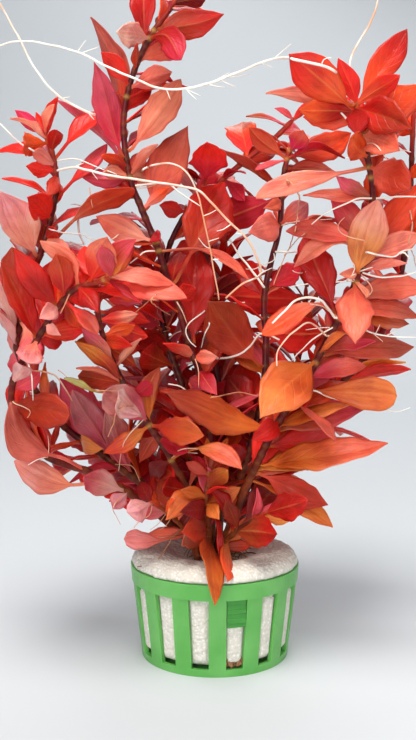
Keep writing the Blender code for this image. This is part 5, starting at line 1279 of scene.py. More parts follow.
def leaf_blade(form, label, stem):
    """The corners, faces, places and undersides of a fine leaf."""
    rng = random.Random(label + " blade")
    half_columns = 3 if form.grain > 1 else 6 if form.width > 5 else 4
    steps = np.linspace(-1, 1, 2 * half_columns + 1)
    across = np.sign(steps) * np.abs(steps) ** 1.15
    level = np.abs(across)
    fold = rng.uniform(0.05, 0.5)
    droop = rng.uniform(0.0, 0.35)
    wave = rng.uniform(0.04, 0.15)
    waves = rng.uniform(1.3, 2.6)
    phases = np.where(across < 0, rng.uniform(0, 6.28), rng.uniform(0, 6.28))
    rows = leaf_rows(form, label, stem)
    stalk = stalk_share(label)
    seed = rng.random()
    ragged = rng.uniform(0.015, 0.06)
    margins = [(rng.uniform(0, 6.28), rng.uniform(0, 6.28), rng.uniform(-0.05, 0.05)) for _ in range(2)]
    upper, lower, places = [], [], []
    for share, point, side, up, edge in rows:
        blade = clamp((share - stalk) / 0.14)
        swing = math.sin(math.pi * share)
        halves = [
            edge * (1 + blade * (
                more + ragged * math.sin(14 * share + first) + ragged * math.sin(33 * share + second)))
            for first, second, more in margins]
        half = np.where(across < 0, *halves)
        lift = half * blade * (fold * level**1.2 - droop * level**3.2)
        lift = lift + half * blade * wave * swing * level**2 * np.sin(2 * math.pi * waves * share + phases)
        quilt = np.cos(2 * math.pi * (share * VEINS - level * VEIN_SLANT))
        lift = lift - 0.022 * half * blade * quilt * np.clip(4 * level * (1 - level), 0, 1)
        groove = np.exp(-((across * half / 0.32) ** 2))
        thick = LEAF_EDGE + (LEAF_MIDDLE - LEAF_EDGE) * (1 - blade + blade * groove)
        middle = np.outer(np.ones_like(across), point) + np.outer(across * half, side)
        upper.append(middle + np.outer(lift + thick * 0.5 - 0.16 * blade * groove, up))
        lower.append(middle + np.outer(lift - thick * 0.5 - 0.1 * blade * groove, up))
        places.append([(share, place, seed) for place in across])
    columns = len(across)
    count = len(rows) * columns
    corners = np.concatenate([np.array(upper).reshape(-1, 3), np.array(lower).reshape(-1, 3)])
    places = np.array(places).reshape(-1, 3)
    faces = []
    for row in range(len(rows) - 1):
        first = row * columns
        for column in range(columns - 1):
            near, far = first + column, first + columns + column
            faces.append((near, near + 1, far + 1, far))
            faces.append((count + near, count + far, count + far + 1, count + near + 1))
        faces.append((first, first + columns, count + first + columns, count + first))
        edge = first + columns - 1
        faces.append((edge, count + edge, count + edge + columns, edge + columns))
    last = (len(rows) - 1) * columns
    for column in range(columns - 1):
        faces.append((column, count + column, count + column + 1, column + 1))
        near = last + column
        faces.append((near, near + 1, count + near + 1, count + near))
    _, point, side, up, _ = rows[len(rows) // 2]
    heading = rows[len(rows) // 2 + 1][1] - point
    if side.cross(heading).dot(up) < 0:
        faces = [tuple(reversed(face)) for face in faces]
    under = np.concatenate([np.zeros(count), np.ones(count)])
    return corners, faces, np.concatenate([places, places]), under


def leaf_tints(form, label, places):
    """The leaf's colour at each corner: from its base's colour to its tip's, a little off on every leaf."""
    rng = random.Random(label + " tint")
    start, end = np.array(COLOURS[form.colour]), np.array(COLOURS[form.end])
    bright = rng.uniform(0.86, 1.16)
    warm = rng.uniform(0.94, 1.24)
    share = np.clip((places[:, 0] - 0.3) / 0.5, 0, 1)
    share = share * share * (3 - 2 * share)
    mixed = start + np.outer(share, end - start)
    mixed = mixed * bright * np.array([1, warm, 1])
    return np.concatenate([mixed, np.ones((len(mixed), 1))], axis=1)


def mesh_piece(name, corners, faces, look):
    """A piece of the object from corners in millimetres, riding on the plant's body."""
    mesh = bpy.data.meshes.new(name)
    mesh.from_pydata((np.array(corners) * MM).tolist(), [], faces)
    made = bpy.data.objects.new(name, mesh)
    bpy.context.scene.collection.objects.link(made)
    mesh.materials.append(look)
    mesh.shade_smooth()
    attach(made, "root")
    return made


def face_outward(mesh, weld=0.0):
    """Turns a closed mesh's faces outward, with its corners nearer than this joined first."""
    form = bmesh.new()
    form.from_mesh(mesh)
    if weld:
        bmesh.ops.remove_doubles(form, verts=form.verts, dist=weld)
    bmesh.ops.recalc_face_normals(form, faces=form.faces)
    form.to_mesh(mesh)
    form.free()
    mesh.shade_smooth()


def set_values(mesh, name, kind, values):
    """A value for each corner of a mesh, for its material to read."""
    attribute = mesh.attributes.new(name, kind, "POINT")
    key = {"FLOAT": "value", "FLOAT_VECTOR": "vector", "FLOAT_COLOR": "color"}[kind]
    attribute.data.foreach_set(key, np.array(values, np.float32).ravel())


def leaf_piece(name, leaves, stems, look):
    """One mesh of one or more fine leaves."""
    parts = [leaf_blade(leaf.form, leaf.label, stems[leaf.shoot]) for leaf in leaves]
    corners = np.concatenate([part[0] for part in parts])
    starts = np.cumsum([0] + [len(part[0]) for part in parts[:-1]])
    faces = [
        tuple(int(start) + corner for corner in face)
        for start, part in zip(starts, parts) for face in part[1]]
    made = mesh_piece(name, corners, faces, look)
    places = np.concatenate([part[2] for part in parts])
    tints = np.concatenate([leaf_tints(leaf.form, leaf.label, part[2]) for leaf, part in zip(leaves, parts)])
    set_values(made.data, "leaf_place", "FLOAT_VECTOR", places)
    set_values(made.data, "leaf_under", "FLOAT", np.concatenate([part[3] for part in parts]))
    set_values(made.data, "leaf_tint", "FLOAT_COLOR", tints)
    return made


def fine_tube(points, radii, sides):
    """A closed tube whose rings don't twist, with a value along it for each corner."""
    corners, places = [], []
    heading = (points[1] - points[0]).normalized()
    across = heading.orthogonal().normalized()
    for index, (point, radius) in enumerate(zip(points, radii)):
        heading = (points[min(index + 1, len(points) - 1)] - points[max(index - 1, 0)]).normalized()
        across = (across - heading * across.dot(heading)).normalized()
        other = heading.cross(across)
        for side in range(sides):
            angle = 2 * math.pi * side / sides
            corners.append(point + (across * math.cos(angle) + other * math.sin(angle)) * radius)
            places.append(index / (len(points) - 1))
    faces = []
    for row in range(len(points) - 1):
        for side in range(sides):
            near, far = row * sides + side, row * sides + (side + 1) % sides
            faces.append((near, far, far + sides, near + sides))
    last = (len(points) - 1) * sides
    faces.append(tuple(reversed(range(sides))))
    faces.append(tuple(range(last, last + sides)))
    return corners, faces, places


def join_parts(parts):
    """Several corners, faces and values as one."""
    corners, faces, places = [], [], []
    for part in parts:
        start = len(corners)
        corners += list(part[0])
        faces += [tuple(start + corner for corner in face) for face in part[1]]
        places += list(part[2])
    return corners, faces, places


def leaf_joints(stem, leaves):
    """The shares of the stem's length at which its leaves grow."""
    spots = np.array([list(point) for point in stem.line])
    found = []
    for leaf in leaves:
        nearest = int(np.argmin(np.linalg.norm(spots - np.array(leaf.form.base), axis=1)))
        found.append(nearest / (len(stem.line) - 1))
    joints = []
    for share in sorted(found):
        if not joints or share - joints[-1] > 1.6 / stem_length(stem):
            joints.append(share)
    return joints


def joint_yellow(stem, share):
    """How yellow a joint's ring is: where the view shows it so, and faintly elsewhere."""
    spot = pixel_of(along(stem.line, share)[0])
    near = [
        strength for u, v, strength in YELLOW_JOINTS.get(stem.name, [])
        if math.dist(spot, (u, v)) < JOINT_PIXELS]
    return max(near, default=FAINT_YELLOW)


def stem_piece(stem, leaves, look):
    """The stem with a swollen ring at each joint, tapering to its crown."""
    length = stem_length(stem)
    joints = np.array(leaf_joints(stem, leaves) or [0.5])
    yellow = np.array([joint_yellow(stem, joint) for joint in joints])
    count = int(length / 0.5)
    points, radii, rings = [], [], []
    for index in range(count + 1):
        share = index / count
        point, _ = along(stem.line, share)
        away = (share - joints) * length
        near = np.exp(-((away / 0.8) ** 2)).sum()
        sway = noise.noise_vector(point * 0.12) * 0.18
        points.append(point + sway)
        taper = min(1, (1 - share) * length / 3 + 0.35)
        radii.append(stem_radius(stem, share) * taper * (1 + 0.16 * min(near, 1)))
        rings.append(min((yellow * np.exp(-((away / 0.55) ** 2))).max(), 1))
    inner = [(a + b * 2 + c) / 4 for a, b, c in zip(points, points[1:], points[2:])]
    corners, faces, _ = fine_tube([points[0], *inner, points[-1]], radii, STEM_SIDES)
    made = mesh_piece(f"shoot_{stem.name}_stem", corners, faces, look)
    set_values(made.data, "stem_joint", "FLOAT", np.repeat(rings, STEM_SIDES))
    shares = np.arange(count + 1) / count
    young = np.clip((shares - YOUNG_FROM.get(stem.name, 0.9)) / 0.08, 0, 1)
    set_values(made.data, "stem_young", "FLOAT", np.repeat(young, STEM_SIDES))
    return made


def new_look(name, colour, roughness):
    """A material whose Principled shader has this colour and roughness."""
    look = bpy.data.materials.new(name)
    look.use_nodes = True
    shader = look.node_tree.nodes["Principled BSDF"]
    shader.inputs["Base Color"].default_value = (*colour, 1)
    shader.inputs["Roughness"].default_value = roughness
    return look, shader


class Board:
    """A new material, with short ways to place its nodes."""

    def __init__(self, name, colour, roughness):
        self.look, self.shader = new_look(name, colour, roughness)
        self.nodes = self.look.node_tree.nodes

    def put(self, socket, value):
        if hasattr(value, "is_output"):
            self.look.node_tree.links.new(value, socket)
        else:
            socket.default_value = value

    def shade(self, **values):
        """Sets the shader's sockets, each named in lower case with underscores."""
        names = {socket.name.lower().replace(" ", "_"): socket for socket in self.shader.inputs}
        for name, value in values.items():
            self.put(names[name], value)

    def attribute(self, name, output="Fac"):
        made = self.nodes.new("ShaderNodeAttribute")
        made.attribute_name = name
        return made.outputs[output]

    def math(self, operation, first, second=0.0, clamp=False):
        made = self.nodes.new("ShaderNodeMath")
        made.operation = operation
        made.use_clamp = clamp
        self.put(made.inputs[0], first)
        self.put(made.inputs[1], second)
        return made.outputs[0]

    def span(self, value, low, high, start=0.0, end=1.0):
        made = self.nodes.new("ShaderNodeMapRange")
        made.interpolation_type = "SMOOTHSTEP"
        self.put(made.inputs["Value"], value)
        for name, number in (("From Min", low), ("From Max", high), ("To Min", start), ("To Max", end)):
            made.inputs[name].default_value = number
        return made.outputs[0]

    def mix(self, share, first, second, blend="MIX"):
        made = self.nodes.new("ShaderNodeMix")
        made.data_type = "RGBA"
        made.blend_type = blend
        self.put(made.inputs[0], share)
        self.put(made.inputs[6], first)
        self.put(made.inputs[7], second)
        return made.outputs[2]

    def noise(self, scale, detail=3.0, vector=None, output="Fac"):
        made = self.nodes.new("ShaderNodeTexNoise")
        made.inputs["Scale"].default_value = scale
        made.inputs["Detail"].default_value = detail
        self.put(made.inputs["Vector"], vector or self.place())
        return made.outputs[output]

    def place(self):
        made = self.nodes.new("ShaderNodeTexCoord")
        return made.outputs["Object"]

    def split(self, vector):
        made = self.nodes.new("ShaderNodeSeparateXYZ")
        self.put(made.inputs[0], vector)
        return made.outputs

    def streaks(self, share, across, seed):
        """Noise drawn out along a leaf, other on every leaf."""
        made = self.nodes.new("ShaderNodeCombineXYZ")
        self.put(made.inputs[0], self.math("MULTIPLY", share, 1.6))
        self.put(made.inputs[1], self.math("MULTIPLY", across, 4.5))
        self.put(made.inputs[2], self.math("MULTIPLY", seed, 90.0))
        return self.noise(1.0, 3.0, made.outputs[0])

    def bump(self, height, strength, distance):
        made = self.nodes.new("ShaderNodeBump")
        made.inputs["Strength"].default_value = strength
        made.inputs["Distance"].default_value = distance
        self.put(made.inputs["Height"], height)
        self.put(self.shader.inputs["Normal"], made.outputs[0])


def leaf_look():
    """Thin red leaf: colour from its tints, with veins, blotches, darker edges and paler undersides."""
    board = Board("water plant leaf", COLOURS["red"], 0.36)
    tint = board.attribute("leaf_tint", "Color")
    share, across, seed = board.split(board.attribute("leaf_place", "Vector"))
    level = board.math("ABSOLUTE", across)
    phase = board.math("SUBTRACT", board.math("MULTIPLY", share, float(VEINS)), board.math(
        "MULTIPLY", level, VEIN_SLANT))
    off = board.math("ABSOLUTE", board.math("SUBTRACT", board.math("FRACT", phase), 0.5))
    vein = board.span(off, 0.5, 0.42, 1.0, 0.0)
    vein = board.math("MULTIPLY", vein, board.span(level, 0.95, 0.6))
    rib = board.span(level, 0.09, 0.02)
    rib = board.math("MULTIPLY", rib, board.span(share, 0.98, 0.7, 0.25, 1.0))
    broad = board.noise(130.0, 2.0)
    fine = board.noise(900.0, 3.0)
    streak = board.streaks(share, across, seed)
    darker = board.mix(1.0, tint, (0.6, 0.42, 0.5, 1), "MULTIPLY")
    colour = board.mix(board.span(broad, 0.46, 0.7, 0.0, 0.75), tint, darker)
    lighter = board.mix(1.0, tint, (1.12, 1.5, 1.6, 1), "MULTIPLY")
    colour = board.mix(board.span(broad, 0.48, 0.3, 0.0, 0.6), colour, lighter)
    colour = board.mix(board.span(streak, 0.5, 0.72, 0.0, 0.5), colour, darker)
    colour = board.mix(board.span(streak, 0.48, 0.3, 0.0, 0.5), colour, lighter)
    colour = board.mix(board.span(fine, 0.55, 0.75, 0.0, 0.2), colour, darker)
    colour = board.mix(board.math("MULTIPLY", vein, 0.3), colour, lighter)
    pale_rib = board.mix(0.4, tint, (0.85, 0.3, 0.08, 1))
    colour = board.mix(board.math("MULTIPLY", rib, board.span(seed, 0.2, 1.0, 0.08, 0.5)), colour, pale_rib)
    colour = board.mix(board.span(level, 0.8, 1.0, 0.0, 0.3), colour, darker)
    under = board.mix(1.0, colour, (1.06, 1.5, 1.6, 1), "MULTIPLY")
    colour = board.mix(board.attribute("leaf_under"), colour, under)
    stalk = board.mix(0.5, tint, (0.5, 0.16, 0.03, 1))
    colour = board.mix(board.span(share, 0.16, 0.05), colour, stalk)
    board.shade(
        base_color=colour, roughness=board.span(fine, 0.3, 0.7, 0.32, 0.46), specular_ior_level=0.24,
        subsurface_weight=0.5, subsurface_radius=(1.0, 0.2, 0.1), subsurface_scale=0.0012)
    relief = board.math("ADD", board.math("MULTIPLY", vein, -0.7), board.math("MULTIPLY", fine, 0.6))
    relief = board.math("ADD", relief, board.math("MULTIPLY", streak, 1.2))
    board.bump(relief, 0.45, 0.0003)
    return board.look


def stem_look():
    """Soft, very dark red stem, orange-brown at the foot, with a yellowish joint here and there."""
    board = Board("water plant stem", STEM_COLOUR, 0.34)
    joint = board.attribute("stem_joint")
    streak = board.noise(420.0, 3.0)
    broad = board.noise(75.0, 2.0)
    top = board.mix(board.span(streak, 0.35, 0.7), (0.06, 0.004, 0.006, 1), (0.13, 0.009, 0.011, 1))
    top = board.mix(board.span(broad, 0.5, 0.75, 0.0, 0.6), top, (0.24, 0.016, 0.012, 1))
    foot = board.mix(board.span(streak, 0.35, 0.7), (0.16, 0.03, 0.01, 1), (0.36, 0.07, 0.016, 1))
    foot = board.mix(board.span(broad, 0.4, 0.7), foot, (0.1, 0.018, 0.01, 1))
    height = board.split(board.place())[2]
    colour = board.mix(board.span(height, 0.045, 0.068), foot, top)
    young = board.math("MULTIPLY", board.attribute("stem_young"), 0.8)
    colour = board.mix(young, colour, (0.5, 0.035, 0.02, 1))
    colour = board.mix(board.math("MULTIPLY", joint, 0.75), colour, (0.62, 0.34, 0.08, 1))
    board.shade(
        base_color=colour, specular_ior_level=0.18, subsurface_weight=0.15,
        subsurface_radius=(1.0, 0.3, 0.15), subsurface_scale=0.0008)
    board.bump(streak, 0.3, 0.0002)
    return board.look


def root_look():
    """Water root: cream white where its tone is 0, pinkish tan where it is 1, brown on the oldest."""
    board = Board("water plant root", ROOT_COLOUR, 0.45)
    blotch = board.noise(120.0, 2.0)
    tone = board.math("ADD", board.attribute("root_tone"), board.span(blotch, 0.42, 0.68, 0.0, 0.3))
    colour = board.mix(board.span(tone, 0.1, 0.85), (0.93, 0.9, 0.8, 1), (0.72, 0.33, 0.18, 1))
    colour = board.mix(board.span(tone, 0.95, 1.3), colour, (0.3, 0.12, 0.05, 1))
    board.shade(
        base_color=colour, subsurface_weight=0.3, subsurface_radius=(1.0, 0.7, 0.5),
        subsurface_scale=0.0005)
    return board.look


def fibre_look():
    """Brown dead fibres on the foam."""
    board = Board("old root fibre", (0.16, 0.055, 0.02), 0.7)
    tone = board.math("MULTIPLY", board.attribute("root_tone"), board.span(board.noise(260.0), 0.3, 0.7))
    board.shade(base_color=board.mix(tone, (0.07, 0.022, 0.01, 1), (0.42, 0.2, 0.09, 1)))
    return board.look


def foam_look():
    """White open-cell foam with a crumbly face; round the stems a real stain mixed with painted pinkish plant
    shade, and a dark middle of real soil and painted shadow.
    """
    board = Board("white foam", FOAM_COLOUR, 0.95)
    place = board.place()
    cells = board.nodes.new("ShaderNodeTexVoronoi")
    cells.inputs["Scale"].default_value = 1100.0
    board.put(cells.inputs["Vector"], place)
    cell = cells.outputs["Distance"]
    grain = board.noise(700.0, 4.0)
    colour = board.mix(board.span(cell, 0.1, 0.55), (0.86, 0.84, 0.78, 1), (0.7, 0.66, 0.58, 1))
    colour = board.mix(board.span(grain, 0.5, 0.75, 0.0, 0.5), colour, (0.62, 0.57, 0.49, 1))
    x, y, z = board.split(place)
    squares = board.math("ADD", board.math("MULTIPLY", x, x), board.math("MULTIPLY", y, y))
    reach = board.math("SQRT", squares)
    top = board.span(z, 0.026, 0.0285)
    blotch = board.span(board.noise(160.0, 3.0), 0.38, 0.66, 0.2, 0.7)
    # The pinkish ring round the stems is partly a real stain and partly painted shade cast by the plant.
    stain_and_plant_shade = board.math("MULTIPLY", board.math("MULTIPLY", board.span(reach, 0.02, 0.013), top), blotch)
    colour = board.mix(stain_and_plant_shade, colour, (0.8, 0.62, 0.55, 1))
    # The dark brown middle is partly real soil and partly painted shadow under the leaves.
    soil_and_shadow = board.math("MULTIPLY", board.math("MULTIPLY", board.span(reach, 0.0105, 0.005), top), blotch)
    colour = board.mix(soil_and_shadow, colour, (0.2, 0.09, 0.045, 1))
    board.shade(base_color=colour, specular_ior_level=0.2)
    board.bump(board.math("ADD", board.math("MULTIPLY", cell, 0.6), grain), 0.7, 0.0006)
    return board.look


def pot_look():
    """Slightly clear green plastic, moulded, with faint scuffs and painted shade darkening the panel inside
    the pot.
    """
    board = Board("green plastic", POT_COLOUR, 0.34)
    streak = board.noise(90.0, 3.0)
    scuff = board.noise(1500.0, 4.0)
    colour = board.mix(board.span(streak, 0.35, 0.7), (0.1, 0.39, 0.07, 1), (0.15, 0.46, 0.11, 1))
    # Painted shade: the panel behind its window, inside the pot, is darkened.
    colour = board.mix(board.attribute("pot_panel"), colour, (0.045, 0.26, 0.035, 1))
    board.shade(
        base_color=colour, roughness=board.span(scuff, 0.4, 0.75, 0.3, 0.5), subsurface_weight=0.25,
        subsurface_radius=(0.3, 1.0, 0.3), subsurface_scale=0.002)
    board.bump(scuff, 0.08, 0.0002)
    return board.look


def pot_spot(angle, radius, height):
    return Vector((radius * math.sin(angle), -radius * math.cos(angle), height))


def pot_wall():
    """The wall of the net pot as cells round it, left out at its windows: corners and faces, closed."""
    pitch = 2 * math.pi / SLATS
    slat_cells, window_cells = POT_CELLS
    band_foot = POT_HEIGHT - RIM_BAND
    rim = RIM_DIAMETER / 2
    heights = [0, FOOT_BAND, *np.linspace(FOOT_BAND, band_foot, 5)[1:], band_foot + 0.001, POT_HEIGHT]
    outer = [pot_radius(height) for height in heights[:-2]] + [rim - RIM_PROUD / 2, rim]
    inner = [pot_radius(height) - POT_WALL for height in heights[:-2]]
    inner += [pot_radius(band_foot) - POT_WALL + 0.02, rim - POT_WALL]
    window_rows = range(1, len(heights) - 3)
    corners, columns = [], []
    for slat in range(SLATS):
        columns += [(slat, "slat", cell / slat_cells) for cell in range(slat_cells)]
        columns += [(slat, "window", cell / window_cells) for cell in range(window_cells)]
    for side_radii in (outer, inner):
        for row, height in enumerate(heights):
            slat_angle = SLAT_WIDTH / pot_radius(min(max(height, FOOT_BAND), band_foot))
            for slat, kind, share in columns:
                start = FIRST_SLAT + slat * pitch - slat_angle / 2
                angle = start + share * slat_angle
                if kind == "window":
                    angle = start + slat_angle + share * (pitch - slat_angle)
                corners.append(pot_spot(angle, side_radii[row], height))
    wide = len(columns)
    layer = wide * len(heights)
    solid = [
        [row not in window_rows or kind == "slat" for _, kind, _ in columns]
        for row in range(len(heights) - 1)]
    faces = []
    for row in range(len(heights) - 1):
        for column in range(wide):
            if not solid[row][column]:
                continue
            after = (column + 1) % wide
            low, high = row * wide, (row + 1) * wide
            faces.append((low + column, low + after, high + after, high + column))
            faces.append((
                layer + low + column, layer + high + column, layer + high + after, layer + low + after))
            if row == 0 or not solid[row - 1][column]:
                faces.append((low + column, layer + low + column, layer + low + after, low + after))
            if row == len(heights) - 2 or not solid[row + 1][column]:
                faces.append((high + column, high + after, layer + high + after, layer + high + column))
            if not solid[row][column - 1]:
                faces.append((low + column, high + column, layer + high + column, layer + low + column))
            if not solid[row][after]:
                faces.append((low + after, layer + low + after, layer + high + after, high + after))
    return corners, faces


def pot_floor():
    """The pot's floor as a slotted disc: corners and faces."""
    cells = 12
    steps = FLOOR_SLOTS * cells
    radii = [FLOOR_DISC_RADIUS, FLOOR_DISC_RADIUS + FLOOR_SLOT[0], pot_radius(0) - POT_WALL / 2]
    corners = []
    for height in (POT_WALL, 0.0):
        corners.append(Vector((0, 0, height)))
        for radius in radii:
            for step in range(steps):
                slot_half = math.pi / FLOOR_SLOTS
                piece, cell = divmod(step, cells)
                middle = 2 * math.pi * (piece + 0.5) / FLOOR_SLOTS
                narrow = FLOOR_SLOT[1] / 2 / radius
                offsets = [
                    -slot_half, -slot_half * 0.75, -slot_half * 0.5, -narrow - 0.02, -narrow, -narrow / 2,
                    0, narrow / 2, narrow, narrow + 0.02, slot_half * 0.5, slot_half * 0.75]
                corners.append(pot_spot(middle + offsets[cell], radius, height))
    layer = len(corners) // 2
    faces = []
    for step in range(steps):
        after = (step + 1) % steps
        faces.append((0, 1 + step, 1 + after))
        faces.append((layer, layer + 1 + after, layer + 1 + step))
        slot = step % cells in (4, 5, 6, 7)
        for ring in range(2):
            low, high = 1 + ring * steps, 1 + (ring + 1) * steps
            if ring == 0 and slot:
                faces.append((low + step, layer + low + step, layer + low + after, low + after))
                faces.append((high + after, layer + high + after, layer + high + step, high + step))
                continue
            faces.append((low + step, high + step, high + after, low + after))
            faces.append((layer + low + step, layer + low + after, layer + high + after, layer + high + step))
            if ring == 0 and (step + 1) % cells == 4:
                faces.append((low + after, high + after, layer + high + after, layer + low + after))
            if ring == 0 and step % cells == 8:
                faces.append((low + step, layer + low + step, layer + high + step, high + step))
        outer = 1 + 2 * steps
        faces.append((outer + step, layer + outer + step, layer + outer + after, outer + after))
    return corners, faces


def pot_panel():
    """The ribbed panel behind one window, bent round the pot: corners and faces."""
    pitch = 2 * math.pi / SLATS
    band_foot = POT_HEIGHT - RIM_BAND
    middle = band_foot - PANEL_HEIGHT / 2 + 0.4
    radius = pot_radius(middle) - 0.6
    half = (pot_radius(band_foot) * pitch - SLAT_WIDTH - 0.8) / 2 / radius
    centre = FIRST_SLAT + 0.5 * pitch
    heights = [middle - PANEL_HEIGHT / 2]
    depths = [0.4]
    for share in (-0.28, 0.04, 0.36):
        rib = middle + share * PANEL_HEIGHT
        heights += [rib - 0.72, rib - 0.55, rib + 0.55, rib + 0.72]
        depths += [0.4, 0.62, 0.62, 0.4]
    heights.append(middle + PANEL_HEIGHT / 2)
    depths.append(0.4)
    columns = 7
    corners = []
    for outside in (True, False):
        for height, depth in zip(heights, depths):
            for column in range(columns):
                angle = centre + half * (2 * column / (columns - 1) - 1)
                corners.append(pot_spot(angle, radius + (depth if outside else -0.4), height))
    layer = len(heights) * columns
    faces = []
    for row in range(len(heights) - 1):
        for column in range(columns - 1):
            near, far = row * columns + column, (row + 1) * columns + column
            faces.append((near, near + 1, far + 1, far))
            faces.append((layer + near, layer + far, layer + far + 1, layer + near + 1))
        near, far = row * columns, (row + 1) * columns
        faces.append((near, far, layer + far, layer + near))
        near, far = near + columns - 1, far + columns - 1
        faces.append((near, layer + near, layer + far, far))
    last = (len(heights) - 1) * columns
    for column in range(columns - 1):
        faces.append((column, layer + column, layer + column + 1, column + 1))
        faces.append((last + column, last + column + 1, layer + last + column + 1, layer + last + column))
    return corners, faces


def pot_piece(look):
    """The whole pot: wall, floor and panel in one mesh with rounded edges."""
    # A value for each corner, 1 on the panel, where the material paints shade.
    parts = [(*part, [0.0] * len(part[0])) for part in (pot_wall(), pot_floor())]
    panel = pot_panel()
    parts.append((*panel, [1.0] * len(panel[0])))
    corners, faces, panel_shade_mask = join_parts(parts)
    made = mesh_piece("net_pot_moulding", corners, faces, look)
    set_values(made.data, "pot_panel", "FLOAT", panel_shade_mask)
    face_outward(made.data, 0.003 * MM)
    bevel = made.modifiers.new("Rounded edges", "BEVEL")
    bevel.width = POT_ROUNDING * MM
    bevel.segments = 2
    bevel.limit_method = "ANGLE"
    bevel.angle_limit = math.radians(35)
    bevel.harden_normals = True
    return made


def foam_profile():
    """The foam plug's radii and heights, from the middle of its top round to the middle of its foot."""
    rim = RIM_DIAMETER / 2
    band_foot = POT_HEIGHT - RIM_BAND
    top = POT_HEIGHT + FOAM_DOME
    inside = pot_radius(band_foot) - POT_WALL - GAP
    return [
        (0.0, top - 2.2),
        (POCKET_RADIUS / 2, top - 1.9),
        (POCKET_RADIUS, top - 0.9),
        (POCKET_RADIUS + 3.5, top + 0.3),
        (rim - 4.5, top + 0.35),
        (rim - 2.3, top - 0.2),
        (rim - 1.0, top - 1.3),
        (rim - 0.5, top - 2.4),
        (rim - 0.5, POT_HEIGHT + 0.4),
        (rim - POT_WALL - 0.35, POT_HEIGHT + 0.1),
        (inside - 0.15, band_foot),
        (pot_radius(FOAM_FOOT) - POT_WALL - GAP - 0.1, FOAM_FOOT - FOAM_SAG + 0.8),
        (pot_radius(FOAM_FOOT) - POT_WALL - GAP - 1.2, FOAM_FOOT - FOAM_SAG),
        (0.0, FOAM_FOOT - FOAM_SAG),
    ]


def window_share(angle, height):
    """How far the angle lies into a window between the pot's slats, from 0 on a slat to 1."""
    pitch = 2 * math.pi / SLATS
    off = abs((angle - FIRST_SLAT + pitch / 2) % pitch - pitch / 2)
    return clamp((off - SLAT_WIDTH / 2 / pot_radius(height) - 0.006) / 0.03)


def foam_piece(look):
    """The foam plug, pressed in round the stems, with a crumbly face turned finely round its profile."""
    profile = foam_profile()
    line = [Vector((radius, 0, height)) for radius, height in profile]
    lengths = [0] + list(np.cumsum([(after - before).length for before, after in zip(line, line[1:])]))
    rows = int(lengths[-1] / 0.62)
    steps = 220
    corners = []
    for row in range(1, rows):
        place = lengths[-1] * row / rows
        radius = float(np.interp(place, lengths, [point.x for point in line]))
        height = float(np.interp(place, lengths, [point.z for point in line]))
        before = max(place - 0.5, 0)
        slope = Vector((
            radius - float(np.interp(before, lengths, [point.x for point in line])), 0,
            height - float(np.interp(before, lengths, [point.z for point in line]))))
        outward = Vector((slope.z, 0, -slope.x)).normalized() * -1
        for step in range(steps):
            angle = 2 * math.pi * step / steps
            spot = pot_spot(angle, radius, height)
            normal = pot_spot(angle, outward.x, outward.z)
            rough = noise.noise(spot * 0.9) * 0.16 + noise.noise(spot * 2.3) * 0.12
            rough += noise.noise(spot * 0.25) * 0.2
            if height > POT_HEIGHT and radius > POCKET_RADIUS + 5:
                rough += max(noise.noise(spot * 1.5), 0) * 0.5
            shy = 0.35 if height < POT_HEIGHT + 0.3 and radius > POCKET_RADIUS + 2 else 1.0
            swell = clamp((height - 3.6) / 1.2) * clamp(POT_HEIGHT - RIM_BAND - 0.5 - height)
            swell *= FOAM_BULGE * window_share(angle, height) if radius > POCKET_RADIUS + 5 else 0
            corners.append(spot + normal * (rough * shy + swell - (0.1 if shy < 1 else 0)))
    faces = []
    for row in range(rows - 2):
        for step in range(steps):
            near, far = row * steps + step, row * steps + (step + 1) % steps
            faces.append((near, far, far + steps, near + steps))
    start = len(corners)
    corners += [Vector((0, 0, profile[0][1])), Vector((0, 0, profile[-1][1]))]
    last = (rows - 2) * steps
    for step in range(steps):
        after = (step + 1) % steps
        faces.append((start, after, step))
        faces.append((start + 1, last + step, last + after))
    made = mesh_piece("foam_plug_body", corners, faces, look)
    face_outward(made.data)
    return made


def fine_root(points, radius, label, end_share=0.35):
    """A thin root along the points, a little crooked, tapering to its end."""
    length = sum((after - before).length for before, after in zip(points, points[1:]))
    count = max(int(length / 0.8), 6)
    line = smooth_route(points, count)
    rng = random.Random(label)
    shift = Vector((rng.uniform(0, 90), rng.uniform(0, 90), rng.uniform(0, 90)))
    line = [point + noise.noise_vector(point * 0.22 + shift) * 0.25 for point in line]
    radii = [radius * (1 - (1 - end_share) * (index / (count - 1)) ** 1.6) for index in range(count)]
    return fine_tube(line, radii, 8 if radius > 0.3 else 6)


def tree_of(leaves, stems):
    """One tree of all the leaves and stems, for laying roots over them."""
    forms = [leaf_solid(leaf.form, leaf.cut) for leaf in leaves]
    for stem in stems.values():
        last = len(stem.line) - 1
        forms.append(tube(stem.line, [stem_radius(stem, index / last) for index in range(last + 1)]))
    corners, faces = [], []
    for own_corners, own_faces in forms:
        start = len(corners)
        corners += own_corners
        faces += [tuple(start + corner for corner in face) for face in own_faces]
    return BVHTree.FromPolygons(corners, faces)


